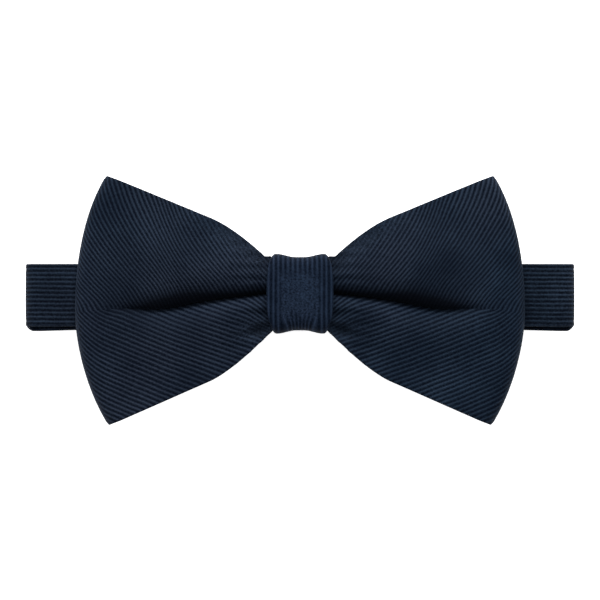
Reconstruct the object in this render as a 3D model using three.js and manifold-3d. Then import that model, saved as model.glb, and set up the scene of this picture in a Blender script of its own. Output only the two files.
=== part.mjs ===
// A pre-tied bow tie in ribbed silk: two looped wings gathered at a waist, a wrapped knot, and a neck
// band folded flat behind them, with a slide adjuster, a hook and an eye.
// Millimetres. The tie lies on its back: +X runs along the bow, +Y up to its top edge and +Z out of
// its front. z = 0 is the plane the folded band lies on; the origin is under the middle of the tie.
import * as THREE from 'three';
import Module from 'manifold-3d';
import { mergeVertices } from 'three/addons/utils/BufferGeometryUtils.js';

const wasm = await Module();
wasm.setup();

// ---------------------------------------------------------------- driving dimensions
const CLEARANCE = 0.3; // left between pieces that touch on the real tie

// neck band
const BAND_WIDTH = 16.8;
const BAND_THICKNESS = 0.8;
const BAND_REACH = 73.8; // middle of the tie to the outside of a fold
const BAND_CENTRE_Y = 1.3;
const FOLD_LEAD = 6; // flat band on each side of a fold that gives with it
const FOLD_DROP = 1.3; // the back run hangs this much below the front run
const BACK_RUN_TILT = THREE.MathUtils.degToRad(1.6); // the back run climbs towards the middle

// metal fittings
const METAL_THICKNESS = 0.8;
const BAR_WIDTH = 1.0; // a bar that the band turns round
const RAIL_WIDTH = 1.2; // the side of a frame, outside the band's edge
const OUTER_BAR_WIDTH = 1.6;
const CORNER_RADIUS = 1.2;
const SLOT_CORNER_RADIUS = 0.4;
const SLOT_EASE = 0.5; // between the rising band and the outer bar of the slide
const FITTING_GAP = 5; // between the hook's tip and the eye, unhooked
const HOOK_PLATE_LENGTH = 2.6;
const HOOK_TONGUE_LENGTH = 5.2;
const HOOK_TONGUE_WIDTH = 6;
const HOOK_LIP_LENGTH = 2.4;
const EYE_SLOT_LENGTH = 9;
const EYE_SLOT_WIDTH = 3;
const EYE_BAR_WIDTH = 1.5;
const SLIDE_TO_HOOK = 21.5; // centre bar of the slide to the hook's bar

// wings
const WING_REACH = 60.2;
const WING_HALF_HEIGHT = 33;
const TIP_SETBACK = 8.6; // how far a tip stands back from the middle of the outer edge
const EDGE_SLOPE = 0.42; // the long edges fall this much per millimetre towards the knot
const NECKING_REACH = 24; // inside this the long edges curve in to the knot
const NECKING_DEPTH = 4.7;
const NECKING_AT = 9.6; // where NECKING_DEPTH is measured
const PANEL_THICKNESS = 0.8;
const INTERLINING_THICKNESS = 0.4;
const WING_FOLD_RADIUS = 3.2; // half the thickness of a wing at its outer fold
const LOBE_RISE = 5.4; // crest of a front lobe above the middle plane of the wing
const LOBE_CREST_AT = 26;
const WAIST_RISE = 3.2;
const OUTER_RISE = 3.6;
const CREASE_DEPTH = 2.8;
const CREASE_HALF_WIDTH = 4.2;
const CREASE_INNER_Y = 2.1;
const CREASE_OUTER_Y = -2.4;
const CREASE_OUTER_X = 52.6;

// knot
const KNOT_WIDTH = 17.8;
const KNOT_HEIGHT = 21;
const KNOT_CENTRE_Y = 1.9;
const KNOT_DEPTH = 14.2;
const KNOT_THICKNESS = 0.8;
const KNOT_SQUARENESS = 5; // exponent of the superellipse that the knot is in section
const THREAD_THICKNESS = 0.4;
const BINDING_WIDTH = 2.4;
const STITCH_WIDTH = 0.5;
const BARTACK_LENGTH = 1.4;

// ---------------------------------------------------------------- levels, from the back to the front
const LAYER = BAND_THICKNESS + CLEARANCE;
const BACK_MID = BAND_THICKNESS / 2;
const BAR_MID = LAYER + METAL_THICKNESS / 2; // bars of the hook and the eye
const BAR_TURN = METAL_THICKNESS / 2 + CLEARANCE + BAND_THICKNESS / 2; // radius of a turn round a bar
const HOOK_TOP_MID = BAR_MID + BAR_TURN;
const SLIDE_MID = 2 * LAYER + METAL_THICKNESS / 2;
const SLIDE_TOP_MID = SLIDE_MID + BAR_TURN + LAYER;
const TACK_BACK = HOOK_TOP_MID + BAND_THICKNESS / 2 + CLEARANCE;
const KNOT_BACK = TACK_BACK + THREAD_THICKNESS + CLEARANCE;
const LINING_BACK = KNOT_BACK + KNOT_THICKNESS + CLEARANCE;
const BINDING_BACK = LINING_BACK + INTERLINING_THICKNESS + CLEARANCE;
const FRONT_RUN_BACK = BINDING_BACK + THREAD_THICKNESS + CLEARANCE;
const FRONT_RUN_MID = FRONT_RUN_BACK + BAND_THICKNESS / 2;
const WING_BACK_MID = FRONT_RUN_BACK + BAND_THICKNESS + CLEARANCE + PANEL_THICKNESS / 2;
const WING_MIDDLE = WING_BACK_MID + WING_FOLD_RADIUS - PANEL_THICKNESS / 2;
const KNOT_MIDDLE = KNOT_BACK + KNOT_DEPTH / 2;

// places along the band
const FOLD_RADIUS = (FRONT_RUN_MID - BACK_MID) / 2;
const FOLD_AXIS_Z = (FRONT_RUN_MID + BACK_MID) / 2;
const FOLD_START = BAND_REACH - BAND_THICKNESS / 2 - FOLD_RADIUS;
const FOLD_END = FOLD_START - FOLD_LEAD;
const BACK_START_Y = BAND_CENTRE_Y - FOLD_DROP + FOLD_LEAD * Math.tan(BACK_RUN_TILT);
const BACK_LENGTH = FOLD_END / Math.cos(BACK_RUN_TILT); // fold to the middle of the tie
const BAR_SLOT = BAR_TURN + BAND_THICKNESS / 2 + CLEARANCE; // clear slot beside a bar the band turns round
const HOOK_BAR_AT = BACK_LENGTH - FITTING_GAP / 2 - HOOK_TONGUE_LENGTH - HOOK_PLATE_LENGTH
  - BAR_SLOT - CLEARANCE - BAR_WIDTH / 2;
const EYE_BAR_AT = BACK_LENGTH - FITTING_GAP / 2 - 2 * EYE_BAR_WIDTH - EYE_SLOT_WIDTH
  - BAR_SLOT - CLEARANCE - BAR_WIDTH / 2;
const SLIDE_AT = HOOK_BAR_AT - SLIDE_TO_HOOK;

// ---------------------------------------------------------------- materials
const silk = (colour) => new THREE.MeshStandardMaterial({ color: colour, roughness: 0.72, metalness: 0 });
const WING_SILK = silk(0x16243c);
const KNOT_SILK = silk(0x1d2c48);
const BAND_SILK = silk(0x17253d);
const CANVAS = new THREE.MeshStandardMaterial({ color: 0xb9b3a4, roughness: 0.95, metalness: 0 });
const THREAD = new THREE.MeshStandardMaterial({ color: 0x101a2c, roughness: 0.6, metalness: 0 });
const METAL = new THREE.MeshStandardMaterial({ color: 0xc9ccd0, roughness: 0.28, metalness: 1 });

// ---------------------------------------------------------------- geometry helpers
const { lerp, smoothstep } = THREE.MathUtils;

/** A closed sheet of even thickness about the surface middle(u, v), u and v from 0 to 1. */
function sheetGeometry(middle, uSteps, vSteps, thickness, ring = false) {
  const positions = [];
  const indices = [];
  const rows = ring ? uSteps : uSteps + 1;
  const across = vSteps + 1;
  const step = 1e-4;
  const within = (value) => (ring ? (value + 1) % 1 : Math.min(1, Math.max(0, value)));
  for (const side of [0.5, -0.5]) {
    for (let i = 0; i < rows; i += 1) {
      for (let j = 0; j < across; j += 1) {
        const u = i / uSteps;
        const v = j / vSteps;
        const alongU = middle(within(u + step), v).sub(middle(within(u - step), v));
        const alongV = middle(u, Math.min(1, v + step)).sub(middle(u, Math.max(0, v - step)));
        const normal = alongU.cross(alongV).normalize();
        const point = middle(u, v).addScaledVector(normal, side * thickness);
        positions.push(point.x, point.y, point.z);
      }
    }
  }
  const at = (side, i, j) => side * rows * across + (i % rows) * across + j;
  const quad = (a, b, c, d) => indices.push(a, b, c, a, c, d);
  for (let i = 0; i < uSteps; i += 1) {
    for (let j = 0; j < vSteps; j += 1) {
      quad(at(0, i, j), at(0, i + 1, j), at(0, i + 1, j + 1), at(0, i, j + 1));
      quad(at(1, i, j), at(1, i, j + 1), at(1, i + 1, j + 1), at(1, i + 1, j));
    }
    quad(at(0, i, 0), at(1, i, 0), at(1, i + 1, 0), at(0, i + 1, 0));
    quad(at(0, i, vSteps), at(0, i + 1, vSteps), at(1, i + 1, vSteps), at(1, i, vSteps));
  }
  if (!ring) {
    for (let j = 0; j < vSteps; j += 1) {
      quad(at(0, 0, j), at(0, 0, j + 1), at(1, 0, j + 1), at(1, 0, j));
      quad(at(0, uSteps, j), at(1, uSteps, j), at(1, uSteps, j + 1), at(0, uSteps, j + 1));
    }
  }
  const geometry = new THREE.BufferGeometry();
  geometry.setAttribute('position', new THREE.Float32BufferAttribute(positions, 3));
  geometry.setIndex(indices);
  return outward(geometry);
}

/** Turns a closed geometry's faces round when they point in. */
function outward(geometry) {
  const index = geometry.getIndex();
  const place = geometry.getAttribute('position');
  const [a, b, c] = [new THREE.Vector3(), new THREE.Vector3(), new THREE.Vector3()];
  let volume = 0;
  for (let i = 0; i < index.count; i += 3) {
    a.fromBufferAttribute(place, index.getX(i));
    b.fromBufferAttribute(place, index.getX(i + 1));
    c.fromBufferAttribute(place, index.getX(i + 2));
    volume += a.dot(b.cross(c));
  }
  if (volume < 0) {
    const turned = Array.from(index.array).reverse();
    geometry.setIndex(turned);
  }
  geometry.computeVertexNormals();
  return geometry;
}

/** An outline in the (along, height) plane, drawn out by width across the band and centred on it. */
function acrossBand(shape, width) {
  const geometry = new THREE.ExtrudeGeometry(shape, { depth: width, bevelEnabled: false, curveSegments: 6 });
  geometry.rotateX(Math.PI / 2);
  geometry.translate(0, width / 2, 0);
  return geometry;
}

/** A strip of band that follows a path in the (along, height) plane. */
function ribbonGeometry(path, width = BAND_WIDTH, thickness = BAND_THICKNESS) {
  const line = path.curves.flatMap((curve, i) => {
    const points = curve.getPoints(curve.isLineCurve ? 1 : 8);
    return i ? points.slice(1) : points;
  });
  const sides = [[], []];
  line.forEach((point, i) => {
    const before = line[Math.max(0, i - 1)];
    const after = line[Math.min(line.length - 1, i + 1)];
    const normal = new THREE.Vector2(before.y - after.y, after.x - before.x).normalize();
    sides[0].push(point.clone().addScaledVector(normal, thickness / 2));
    sides[1].push(point.clone().addScaledVector(normal, -thickness / 2));
  });
  return acrossBand(new THREE.Shape([...sides[0], ...sides[1].reverse()]), width);
}

/** A rectangle in plan with round corners. */
function plateShape(x0, x1, y0, y1, radius, cornerSteps = 4) {
  const [left, right, low, high] = [x0 + radius, x1 - radius, y0 + radius, y1 - radius];
  const centres = [[right, low], [right, high], [left, high], [left, low]];
  const points = centres.flatMap(([x, y], corner) => Array.from({ length: cornerSteps + 1 }, (_, i) => {
    const angle = (corner - 1 + i / cornerSteps) * (Math.PI / 2);
    return new THREE.Vector2(x + radius * Math.cos(angle), y + radius * Math.sin(angle));
  }));
  return new THREE.Shape(points);
}

/** A plate or cutter of the outline shape between two heights. */
function plateGeometry(shape, low, high) {
  const geometry = new THREE.ExtrudeGeometry(shape, { depth: high - low, bevelEnabled: false, curveSegments: 4 });
  return geometry.translate(0, 0, low);
}

function toSolid(geometry) {
  const bare = geometry.clone();
  bare.deleteAttribute('normal');
  bare.deleteAttribute('uv');
  const merged = bare.index ? bare : mergeVertices(bare, 1e-5);
  const mesh = new wasm.Mesh({
    numProp: 3,
    vertProperties: new Float32Array(merged.getAttribute('position').array),
    triVerts: new Uint32Array(merged.getIndex().array),
  });
  return new wasm.Manifold(mesh);
}

function toGeometry(solid) {
  const { vertProperties, triVerts } = solid.getMesh();
  const geometry = new THREE.BufferGeometry();
  geometry.setAttribute('position', new THREE.BufferAttribute(vertProperties, 3));
  geometry.setIndex(new THREE.BufferAttribute(triVerts, 1));
  geometry.computeVertexNormals();
  return geometry;
}

function piece(name, geometry, material) {
  const mesh = new THREE.Mesh(geometry, material);
  mesh.name = name;
  return mesh;
}

// ---------------------------------------------------------------- wings
// A wing is worked out at x = -distance; the right wing is its mirror image.

const CAVITY_HALF_HEIGHT = KNOT_HEIGHT / 2 - KNOT_THICKNESS - INTERLINING_THICKNESS - 2 * CLEARANCE;
const WAIST_HALF_HEIGHT = CAVITY_HALF_HEIGHT - THREAD_THICKNESS - 2 * CLEARANCE;
const KNOT_EDGE = KNOT_WIDTH / 2;

/** Height of a long edge of the wing above or below the middle, at a distance from the middle. */
function wingEdge(distance, side) {
  const tip = WING_REACH - TIP_SETBACK;
  const straight = WING_HALF_HEIGHT - EDGE_SLOPE * (tip - distance);
  const inside = Math.max(0, NECKING_REACH - distance) / (NECKING_REACH - NECKING_AT);
  const outer = straight - NECKING_DEPTH * inside ** 1.6;
  const gathered = WAIST_HALF_HEIGHT + 0.9 * Math.min(1, distance / KNOT_EDGE) ** 4;
  const out = smoothstep(distance, KNOT_EDGE + 0.8, KNOT_EDGE + 2.6);
  return lerp(KNOT_CENTRE_Y + side * gathered, side * outer, out);
}

/** Rise of the front panel above the wing's middle plane, before the crease is pressed in. */
function frontRise(distance) {
  const inner = smoothstep(distance, 0, LOBE_CREST_AT);
  const outer = smoothstep(distance, LOBE_CREST_AT, WING_REACH);
  return distance < LOBE_CREST_AT ? lerp(WAIST_RISE, LOBE_RISE, inner) : lerp(LOBE_RISE, OUTER_RISE, outer);
}

/** Depth of the crease that runs out from the knot across the front panel. */
function creaseDepth(distance, y) {
  const along = distance / CREASE_OUTER_X;
  const middle = lerp(CREASE_INNER_Y, CREASE_OUTER_Y, along);
  const fade = 1 - smoothstep(along, 0.25, 1);
  return CREASE_DEPTH * fade * Math.exp(-(((y - middle) / CREASE_HALF_WIDTH) ** 2));
}

/** A point of a wing's loop. turn runs from 0 at the waist on the front, through 0.5 at the outer fold,
    to 1 at the waist on the back; inset moves the surface in, towards the middle of the loop. */
function loopPoint(turn, v, inset, trim) {
  const front = turn <= 0.5;
  const share = front ? turn * 2 : (1 - turn) * 2;
  const flatShare = 0.8; // of each half; the rest is the outer fold
  const across = lerp(-1 + trim, 1 - trim, v);
  const edge = WING_REACH - TIP_SETBACK * Math.abs(across) ** 1.9;
  const depth = front ? OUTER_RISE : WING_FOLD_RADIUS - PANEL_THICKNESS / 2;
  const foldStart = edge - WING_FOLD_RADIUS;
  let distance = lerp(CLEARANCE / 2, foldStart, Math.min(1, share / flatShare));
  const heightAt = () => lerp(wingEdge(distance, -1), wingEdge(distance, 1), (across + 1) / 2);
  let y = heightAt();
  const rise = front ? frontRise(distance) - creaseDepth(distance, y) : -depth;
  let z = rise - Math.sign(rise) * inset;
  if (share > flatShare) {
    const angle = ((share - flatShare) / (1 - flatShare)) * (Math.PI / 2);
    distance = foldStart + (WING_FOLD_RADIUS - PANEL_THICKNESS / 2 - inset) * Math.sin(angle);
    y = heightAt();
    z *= Math.cos(angle);
  }
  return new THREE.Vector3(-distance, y, WING_MIDDLE + z);
}

function mirrored(geometry) {
  return outward(geometry.clone().scale(-1, 1, 1));
}

function wingPieces() {
  const parting = CLEARANCE / (2 * Math.PI * WING_REACH); // keeps front and back panel apart at the fold
  const foldGap = 0.5 - 12 * parting;
  const [along, across] = [18, 12]; // the layers share one grid, so their facets stay clear of each other
  const front = sheetGeometry((u, v) => loopPoint(u * foldGap, v, 0, 0), along, across, PANEL_THICKNESS);
  const back = sheetGeometry((u, v) => loopPoint(1 - u * foldGap, v, 0, 0), along, across, PANEL_THICKNESS);
  const inset = (PANEL_THICKNESS + INTERLINING_THICKNESS) / 2 + CLEARANCE;
  const lining = sheetGeometry((u, v) => loopPoint(u, v, inset, 0.03), 2 * along, across, INTERLINING_THICKNESS);
  return [
    piece('left_wing_front', front, WING_SILK),
    piece('left_wing_back', back, WING_SILK),
    piece('left_wing_interlining', lining, CANVAS),
    piece('right_wing_front', mirrored(front), WING_SILK),
    piece('right_wing_back', mirrored(back), WING_SILK),
    piece('right_wing_interlining', mirrored(lining), CANVAS),
  ];
}

// ---------------------------------------------------------------- knot

/** A point on a ring round the waist, of the given half height and half depth. */
function ringPoint(turn, across, halfHeight, halfDepth, halfWidth, squareness) {
  const angle = turn * 2 * Math.PI;
  const round = (value) => Math.sign(value) * Math.abs(value) ** (2 / squareness);
  const x = lerp(-halfWidth, halfWidth, across);
  const y = KNOT_CENTRE_Y + halfHeight * round(Math.cos(angle));
  return new THREE.Vector3(x, y, KNOT_MIDDLE + halfDepth * round(Math.sin(angle)));
}

function ringGeometry(inset, thickness, halfWidth, squareness, acrossSteps = 1) {
  const middle = inset + thickness / 2;
  const surface = (u, v) => ringPoint(
    u + 1 / 88, v, KNOT_HEIGHT / 2 - middle, KNOT_DEPTH / 2 - middle, halfWidth(u), squareness,
  );
  return sheetGeometry(surface, 44, acrossSteps, thickness, true);
}

/** A zigzag of thread along X, as a solid between two heights. */
function zigzagGeometry(length, height, teeth, low, high) {
  const upper = [];
  const lower = [];
  for (let i = 0; i <= teeth; i += 1) {
    const x = lerp(-length / 2, length / 2, i / teeth);
    const y = (i % 2 ? 1 : -1) * (height / 2);
    upper.push(new THREE.Vector2(x, y + STITCH_WIDTH));
    lower.push(new THREE.Vector2(x, y - STITCH_WIDTH));
  }
  return plateGeometry(new THREE.Shape([...lower, ...upper.reverse()]), low, high);
}

function knotPieces() {
  const bulge = (u) => KNOT_EDGE * (0.93 + 0.07 * Math.max(0, Math.sin(u * 2 * Math.PI)));
  const liningInset = KNOT_THICKNESS + CLEARANCE;
  const bindingInset = liningInset + INTERLINING_THICKNESS + CLEARANCE;
  const tack = zigzagGeometry(8, 1.6, 8, TACK_BACK, TACK_BACK + THREAD_THICKNESS);
  tack.translate(0, KNOT_CENTRE_Y, 0);
  return [
    piece('knot_band', ringGeometry(0, KNOT_THICKNESS, bulge, KNOT_SQUARENESS, 2), KNOT_SILK),
    piece('knot_interlining',
      ringGeometry(liningInset, INTERLINING_THICKNESS, () => KNOT_EDGE - 1.5, KNOT_SQUARENESS + 1), CANVAS),
    piece('waist_binding', ringGeometry(bindingInset, THREAD_THICKNESS, () => BINDING_WIDTH / 2, 9), THREAD),
    piece('knot_tack', tack, THREAD),
  ];
}

// ---------------------------------------------------------------- band: front run and folds

function frontRun() {
  const waist = Math.min(BAND_WIDTH / 2, WAIST_HALF_HEIGHT - 0.5);
  const surface = (u, v) => {
    const x = lerp(-FOLD_END + CLEARANCE / 2, FOLD_END - CLEARANCE / 2, u);
    const out = smoothstep(Math.abs(x), KNOT_EDGE - 0.5, KNOT_EDGE + 6);
    const half = lerp(waist, BAND_WIDTH / 2, out);
    const centre = lerp(KNOT_CENTRE_Y, BAND_CENTRE_Y, out);
    return new THREE.Vector3(x, centre + lerp(-half, half, v), FRONT_RUN_MID);
  };
  return sheetGeometry(surface, 40, 1, BAND_THICKNESS);
}

/** The left fold: flat lead on the front, half a turn, flat lead on the back, dropping as it turns. */
function foldGeometry() {
  const turnLength = Math.PI * FOLD_RADIUS;
  const total = turnLength + 2 * FOLD_LEAD;
  const surface = (u, v) => {
    const along = u * total;
    const angle = THREE.MathUtils.clamp((along - FOLD_LEAD) / FOLD_RADIUS, 0, Math.PI);
    const lead = along < FOLD_LEAD ? FOLD_LEAD - along : Math.max(0, along - FOLD_LEAD - turnLength);
    const distance = FOLD_START - lead + FOLD_RADIUS * Math.sin(angle);
    const climb = angle === Math.PI ? lead * Math.tan(BACK_RUN_TILT) : 0;
    const drop = FOLD_DROP * smoothstep(angle, Math.PI / 2, Math.PI);
    const y = BAND_CENTRE_Y - drop + climb + lerp(-BAND_WIDTH / 2, BAND_WIDTH / 2, v);
    return new THREE.Vector3(-distance, y, FOLD_AXIS_Z + FOLD_RADIUS * Math.cos(angle));
  };
  return sheetGeometry(surface, 30, 1, BAND_THICKNESS);
}

// ---------------------------------------------------------------- band: back runs and fittings
// Worked out along the back run: x is the way along it from the fold to the middle of the tie, y is
// across it and z is the height, so one set of pieces serves both sides.

const UPRIGHT_AT = BAR_WIDTH / 2 + BAR_TURN + LAYER + CLEARANCE; // middle of the slide to the rising band
const SLIDE_SLOT = UPRIGHT_AT + BAND_THICKNESS / 2 + SLOT_EASE - BAR_WIDTH / 2; // centre bar to outer bar
const SLIDE_HALF_LENGTH = BAR_WIDTH / 2 + SLIDE_SLOT + OUTER_BAR_WIDTH;
const THREADED_HALF_LENGTH = SLIDE_HALF_LENGTH + 3.5;
const FRAME_HALF_WIDTH = BAND_WIDTH / 2 + CLEARANCE + RAIL_WIDTH;
const JOIN = CLEARANCE / 2; // gap between two lengths of one band
const RUN_START = JOIN + (BAND_WIDTH / 2) * Math.tan(BACK_RUN_TILT); // clears the fold at both edges

/** A path of straight stretches and arcs, given as ['L', x, z] and ['A', x, z, radius, from, to]. */
function bandPath(start, steps) {
  const path = new THREE.Path();
  path.moveTo(...start);
  for (const [kind, x, z, radius, from, to] of steps) {
    if (kind === 'L') {
      path.lineTo(x, z);
    } else if (kind === 'C') {
      const middle = (path.currentPoint.x + x) / 2;
      path.bezierCurveTo(middle, path.currentPoint.y, middle, z, x, z);
    } else {
      path.absarc(x, z, radius, from, to, to < from);
    }
  }
  path.curves = path.curves.filter((curve) => !curve.isLineCurve || curve.getLength() > 1e-3);
  return path;
}

/** The band where it goes up through the slide, over its centre bar and down again. */
function threadedPath() {
  const over = SLIDE_TOP_MID;
  const under = SLIDE_MID - BAR_TURN;
  const overTurn = UPRIGHT_AT - BAR_TURN;
  const underTurn = UPRIGHT_AT + BAR_TURN;
  const quarter = Math.PI / 2;
  return bandPath([SLIDE_AT - THREADED_HALF_LENGTH, BACK_MID], [
    ['C', SLIDE_AT - SLIDE_HALF_LENGTH, under],
    ['L', SLIDE_AT - underTurn, under],
    ['A', SLIDE_AT - underTurn, SLIDE_MID, BAR_TURN, -quarter, 0],
    ['L', SLIDE_AT - UPRIGHT_AT, over - BAR_TURN],
    ['A', SLIDE_AT - overTurn, over - BAR_TURN, BAR_TURN, Math.PI, quarter],
    ['A', SLIDE_AT + overTurn, over - BAR_TURN, BAR_TURN, quarter, 0],
    ['L', SLIDE_AT + UPRIGHT_AT, SLIDE_MID],
    ['A', SLIDE_AT + underTurn, SLIDE_MID, BAR_TURN, Math.PI, 1.5 * Math.PI],
    ['L', SLIDE_AT + SLIDE_HALF_LENGTH, under],
    ['C', SLIDE_AT + THREADED_HALF_LENGTH, HOOK_TOP_MID],
  ]);
}

/** The end of the band, sewn round the centre bar of the slide. */
function sewnEndPath() {
  const turn = BAR_WIDTH / 2;
  return bandPath([SLIDE_AT + THREADED_HALF_LENGTH, BACK_MID], [
    ['L', SLIDE_AT + SLIDE_HALF_LENGTH - OUTER_BAR_WIDTH, BACK_MID],
    ['C', SLIDE_AT + turn, SLIDE_MID - BAR_TURN],
    ['L', SLIDE_AT - turn, SLIDE_MID - BAR_TURN],
    ['A', SLIDE_AT - turn, SLIDE_MID, BAR_TURN, 1.5 * Math.PI, Math.PI / 2],
    ['A', SLIDE_AT + turn, SLIDE_MID, BAR_TURN, Math.PI / 2, 0.1 * Math.PI],
  ]);
}

/** Cuts slots, each [x0, x1, y0, y1], right through a metal fitting from front to back. */
function slotted(geometry, slots) {
  let solid = toSolid(geometry);
  for (const [x0, x1, y0, y1] of slots) {
    const outline = plateShape(x0, x1, y0, y1, SLOT_CORNER_RADIUS);
    solid = solid.subtract(toSolid(plateGeometry(outline, -METAL_THICKNESS, SLIDE_TOP_MID)));
  }
  return toGeometry(solid);
}

/** A flat frame with three bars. */
function slideGeometry() {
  const outline = plateShape(
    SLIDE_AT - SLIDE_HALF_LENGTH, SLIDE_AT + SLIDE_HALF_LENGTH, -FRAME_HALF_WIDTH, FRAME_HALF_WIDTH, CORNER_RADIUS,
  );
  const plate = plateGeometry(outline, SLIDE_MID - METAL_THICKNESS / 2, SLIDE_MID + METAL_THICKNESS / 2);
  const inner = FRAME_HALF_WIDTH - RAIL_WIDTH;
  const near = BAR_WIDTH / 2;
  const far = near + SLIDE_SLOT;
  return slotted(plate, [
    [SLIDE_AT - far, SLIDE_AT - near, -inner, inner],
    [SLIDE_AT + near, SLIDE_AT + far, -inner, inner],
  ]);
}

/** The side profile of a fitting: a bar held in the band's turn, a step down to the back plane, a
    plate, and for the hook a tongue that doubles back over itself. */
function fittingProfile(barAt, plateEnd, lip) {
  const low = METAL_THICKNESS / 2;
  const start = barAt - BAR_WIDTH / 2;
  const plateStart = barAt + BAR_WIDTH / 2 + BAR_SLOT;
  const steps = [['L', barAt + BAR_WIDTH / 2, BAR_MID], ['C', plateStart, low], ['L', plateEnd, low]];
  if (lip > 0) {
    const bend = METAL_THICKNESS / 2 + (METAL_THICKNESS + 2 * CLEARANCE) / 2;
    steps[2] = ['L', plateEnd - bend - METAL_THICKNESS / 2, low];
    steps.push(['A', plateEnd - bend - METAL_THICKNESS / 2, low + bend, bend, -Math.PI / 2, Math.PI / 2]);
    steps.push(['L', plateEnd - bend - METAL_THICKNESS / 2 - lip, low + 2 * bend]);
  }
  return bandPath([start, BAR_MID], steps);
}

/** A frame that follows a side profile, with slots cut in it. */
function fittingGeometry(profile, slots) {
  return slotted(ribbonGeometry(profile, 2 * FRAME_HALF_WIDTH, METAL_THICKNESS), slots);
}

function hookGeometry() {
  const slotStart = HOOK_BAR_AT + BAR_WIDTH / 2;
  const slotEnd = slotStart + BAR_SLOT + CLEARANCE;
  const plateEnd = slotEnd + HOOK_PLATE_LENGTH;
  const tip = plateEnd + HOOK_TONGUE_LENGTH;
  const inner = FRAME_HALF_WIDTH - RAIL_WIDTH;
  const past = FRAME_HALF_WIDTH + 1;
  return fittingGeometry(fittingProfile(HOOK_BAR_AT, tip, HOOK_LIP_LENGTH), [
    [slotStart, slotEnd, -inner, inner],
    [plateEnd, tip + 1, HOOK_TONGUE_WIDTH / 2, past],
    [plateEnd, tip + 1, -past, -HOOK_TONGUE_WIDTH / 2],
  ]);
}

function eyeGeometry() {
  const slotStart = EYE_BAR_AT + BAR_WIDTH / 2;
  const slotEnd = slotStart + BAR_SLOT + CLEARANCE;
  const holeStart = slotEnd + EYE_BAR_WIDTH;
  const holeEnd = holeStart + EYE_SLOT_WIDTH;
  const inner = FRAME_HALF_WIDTH - RAIL_WIDTH;
  return fittingGeometry(fittingProfile(EYE_BAR_AT, holeEnd + EYE_BAR_WIDTH, 0), [
    [slotStart, slotEnd, -inner, inner],
    [holeStart, holeEnd, -EYE_SLOT_LENGTH / 2, EYE_SLOT_LENGTH / 2],
  ]);
}

/** The band's turn round the bar of the hook: up from the back run and over to the upper layer. */
function hookTurnPath() {
  const turn = HOOK_BAR_AT + BAR_WIDTH / 2;
  const start = HOOK_BAR_AT - 1.5;
  return bandPath([start, BACK_MID], [
    ['L', turn, BACK_MID],
    ['A', turn, BAR_MID, BAR_TURN, -Math.PI / 2, Math.PI / 2],
    ['L', start, HOOK_TOP_MID],
  ]);
}

/** The band's end, turned round the bar of the eye and sewn down on the run. */
function eyeTurnPath() {
  const turn = EYE_BAR_AT + BAR_WIDTH / 2;
  const foot = EYE_BAR_AT - 5;
  return bandPath([EYE_BAR_AT - 8, BACK_MID], [
    ['L', turn, BACK_MID],
    ['A', turn, BAR_MID, BAR_TURN, -Math.PI / 2, Math.PI / 2],
    ['L', EYE_BAR_AT - 1, HOOK_TOP_MID],
    ['C', foot, BACK_MID + LAYER],
    ['L', foot - 2.4, BACK_MID + LAYER],
  ]);
}

function straightRun(from, to, middle) {
  const shape = new THREE.Shape([
    new THREE.Vector2(from, middle - BAND_THICKNESS / 2),
    new THREE.Vector2(to, middle - BAND_THICKNESS / 2),
    new THREE.Vector2(to, middle + BAND_THICKNESS / 2),
    new THREE.Vector2(from, middle + BAND_THICKNESS / 2),
  ]);
  return acrossBand(shape, BAND_WIDTH);
}

function bartackGeometry(at, low) {
  const half = BARTACK_LENGTH / 2;
  const reach = BAND_WIDTH / 2 - 1.4;
  return plateGeometry(plateShape(at - half, at + half, -reach, reach, 0.3), low, low + THREAD_THICKNESS);
}

function leftBack() {
  const threadedStart = SLIDE_AT - THREADED_HALF_LENGTH;
  const threadedEnd = SLIDE_AT + THREADED_HALF_LENGTH;
  const turnStart = HOOK_BAR_AT - 1.5;
  const group = new THREE.Group();
  group.add(
    piece('left_band_run', straightRun(RUN_START, threadedStart - JOIN, BACK_MID), BAND_SILK),
    piece('band_through_slide', ribbonGeometry(threadedPath()), BAND_SILK),
    piece('slide_adjuster', slideGeometry(), METAL),
    piece('slide_bar_loop', ribbonGeometry(sewnEndPath()), BAND_SILK),
    piece('slide_bartack',
      bartackGeometry(SLIDE_AT, SLIDE_MID - BAR_TURN - BAND_THICKNESS / 2 - CLEARANCE - THREAD_THICKNESS), THREAD),
    piece('band_outer_run', straightRun(threadedEnd + JOIN, turnStart - JOIN, HOOK_TOP_MID), BAND_SILK),
    piece('band_return_run', straightRun(threadedEnd + JOIN, turnStart - JOIN, BACK_MID), BAND_SILK),
    piece('hook_bar_loop', ribbonGeometry(hookTurnPath()), BAND_SILK),
    piece('band_hook', hookGeometry(), METAL),
  );
  group.position.set(-FOLD_END, BACK_START_Y, 0);
  group.rotation.z = BACK_RUN_TILT;
  return group;
}

function rightBack() {
  const turnStart = EYE_BAR_AT - 8;
  const group = new THREE.Group();
  group.add(
    piece('right_band_run', straightRun(RUN_START, turnStart - JOIN, BACK_MID), BAND_SILK),
    piece('eye_bar_loop', ribbonGeometry(eyeTurnPath()), BAND_SILK),
    piece('eye_bartack', bartackGeometry(EYE_BAR_AT - 6.2, BACK_MID + LAYER + BAND_THICKNESS / 2 + CLEARANCE), THREAD),
    piece('band_eye', eyeGeometry(), METAL),
  );
  group.position.set(FOLD_END, BACK_START_Y, 0);
  group.rotation.z = Math.PI - BACK_RUN_TILT;
  return group;
}

// ---------------------------------------------------------------- the tie
const fold = foldGeometry();
const bowTie = new THREE.Group();
bowTie.add(
  ...wingPieces(),
  ...knotPieces(),
  piece('band_front_run', frontRun(), BAND_SILK),
  piece('left_band_fold', fold, BAND_SILK),
  piece('right_band_fold', mirrored(fold), BAND_SILK),
  leftBack(),
  rightBack(),
);

export default bowTie;
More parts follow.
